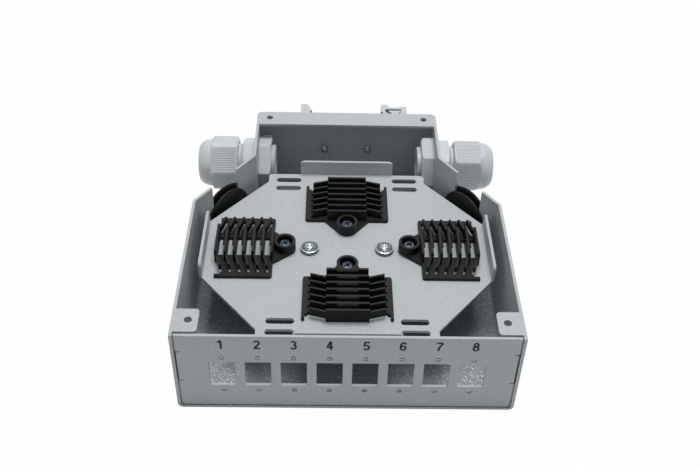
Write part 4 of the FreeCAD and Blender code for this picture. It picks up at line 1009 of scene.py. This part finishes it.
# %% [markdown]
# ## Port numbers
#
# The ports are numbered 1 to 8 in black print above the cut-outs. A text object would be
# quicker, but its letters depend on a font. So each digit is drawn with strokes of one width, as
# a sign writer would: a line of points is extruded by the thickness of the ink, and a Solidify
# modifier gives it the width of the stroke. The ink lies a few hundredths of a millimetre proud
# of the panel.

# %% Strokes
PORTS, PORT_PITCH = 8, 13.35
INK_LOW, INK_TALL, INK_THICK, INK_WIDE = 33.3, 4.6, 0.04, 0.78


def arc(middle, across, up, start, end, count=14):
    """Points along a part of an ellipse, its angles in degrees."""
    points = []
    for index in range(count + 1):
        angle = radians(start + (end - start) * index / count)
        points.append((middle[0] + across * cos(angle), middle[1] + up * sin(angle)))
    return points


def draw_stroke(points):
    """One stroke of ink along points given in mm, standing in the XZ plane."""
    piece = draw_line("stroke", points)
    bpy.ops.mesh.remove_doubles(threshold=MM / 1000)
    bpy.ops.mesh.extrude_edges_move(TRANSFORM_OT_translate={"value": (0, INK_THICK * MM, 0)})
    bpy.ops.object.mode_set(mode="OBJECT")
    bpy.ops.object.modifier_add(type="SOLIDIFY")
    widen = piece.modifiers[-1]
    widen.thickness = INK_WIDE * MM
    widen.offset = 0
    widen.use_even_offset = True
    bpy.ops.object.modifier_apply(modifier=widen.name)
    return piece


print("digits", INK_TALL, "mm tall")


# %% The digits
TOP, BASE = INK_TALL - INK_WIDE / 2, INK_WIDE / 2
STROKES = {
    1: [[(0.3, 0), (0.3, INK_TALL)], [(0.1, 4.05), (-0.4, 3.7), (-0.9, 3.5)]],
    2: [arc((0, 3.25), 0.9, TOP - 3.25, 165, -30) + [(-0.75, 0.6)], [(-1.2, BASE), (1.25, BASE)]],
    3: [arc((0, 3.28), 0.84, TOP - 3.28, 150, -85), arc((0, 1.38), 0.93, 1.38 - BASE, 85, -155)],
    4: [[(0.25, 4.45), (-0.95, 1.55)], [(-1.3, 1.4), (1.25, 1.4)], [(0.4, 0), (0.4, INK_TALL)]],
    5: [[(1.1, TOP), (-0.75, TOP)], [(-0.62, TOP), (-0.85, 2.3)],
        arc((0, 1.5), 0.93, 1.5 - BASE, 140, -155)],
    6: [arc((0, 1.43), 0.9, 1.43 - BASE, 0, 360, 28),
        arc((0.12, 2.2), 1.02, TOP - 2.2, 195, 35)],
    7: [[(-1.2, TOP), (1.2, TOP)], arc((2.6, 0), 2.95, 4.3, 118, 180)],
    8: [arc((0, 3.32), 0.76, TOP - 3.32, 0, 360, 28), arc((0, 1.4), 0.92, 1.4 - BASE, 0, 360, 28)],
}


def print_digit(number, x):
    """One printed digit on the front panel."""
    digit = join("digit", [draw_stroke(points) for points in STROKES[number]])
    only(digit)
    digit.matrix_world = place_at(x, PANEL_FACE - INK_THICK, INK_LOW)
    bpy.ops.object.transform_apply(location=True, rotation=True, scale=True)
    return digit


numbers = join("port_numbers",
               [print_digit(index + 1, (index - (PORTS - 1) / 2) * PORT_PITCH)
                for index in range(PORTS)])
numbers.data.materials.clear()
numbers.data.materials.append(print_ink)
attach(numbers, "housing")
print("port numbers:", len(numbers.data.polygons), "faces")
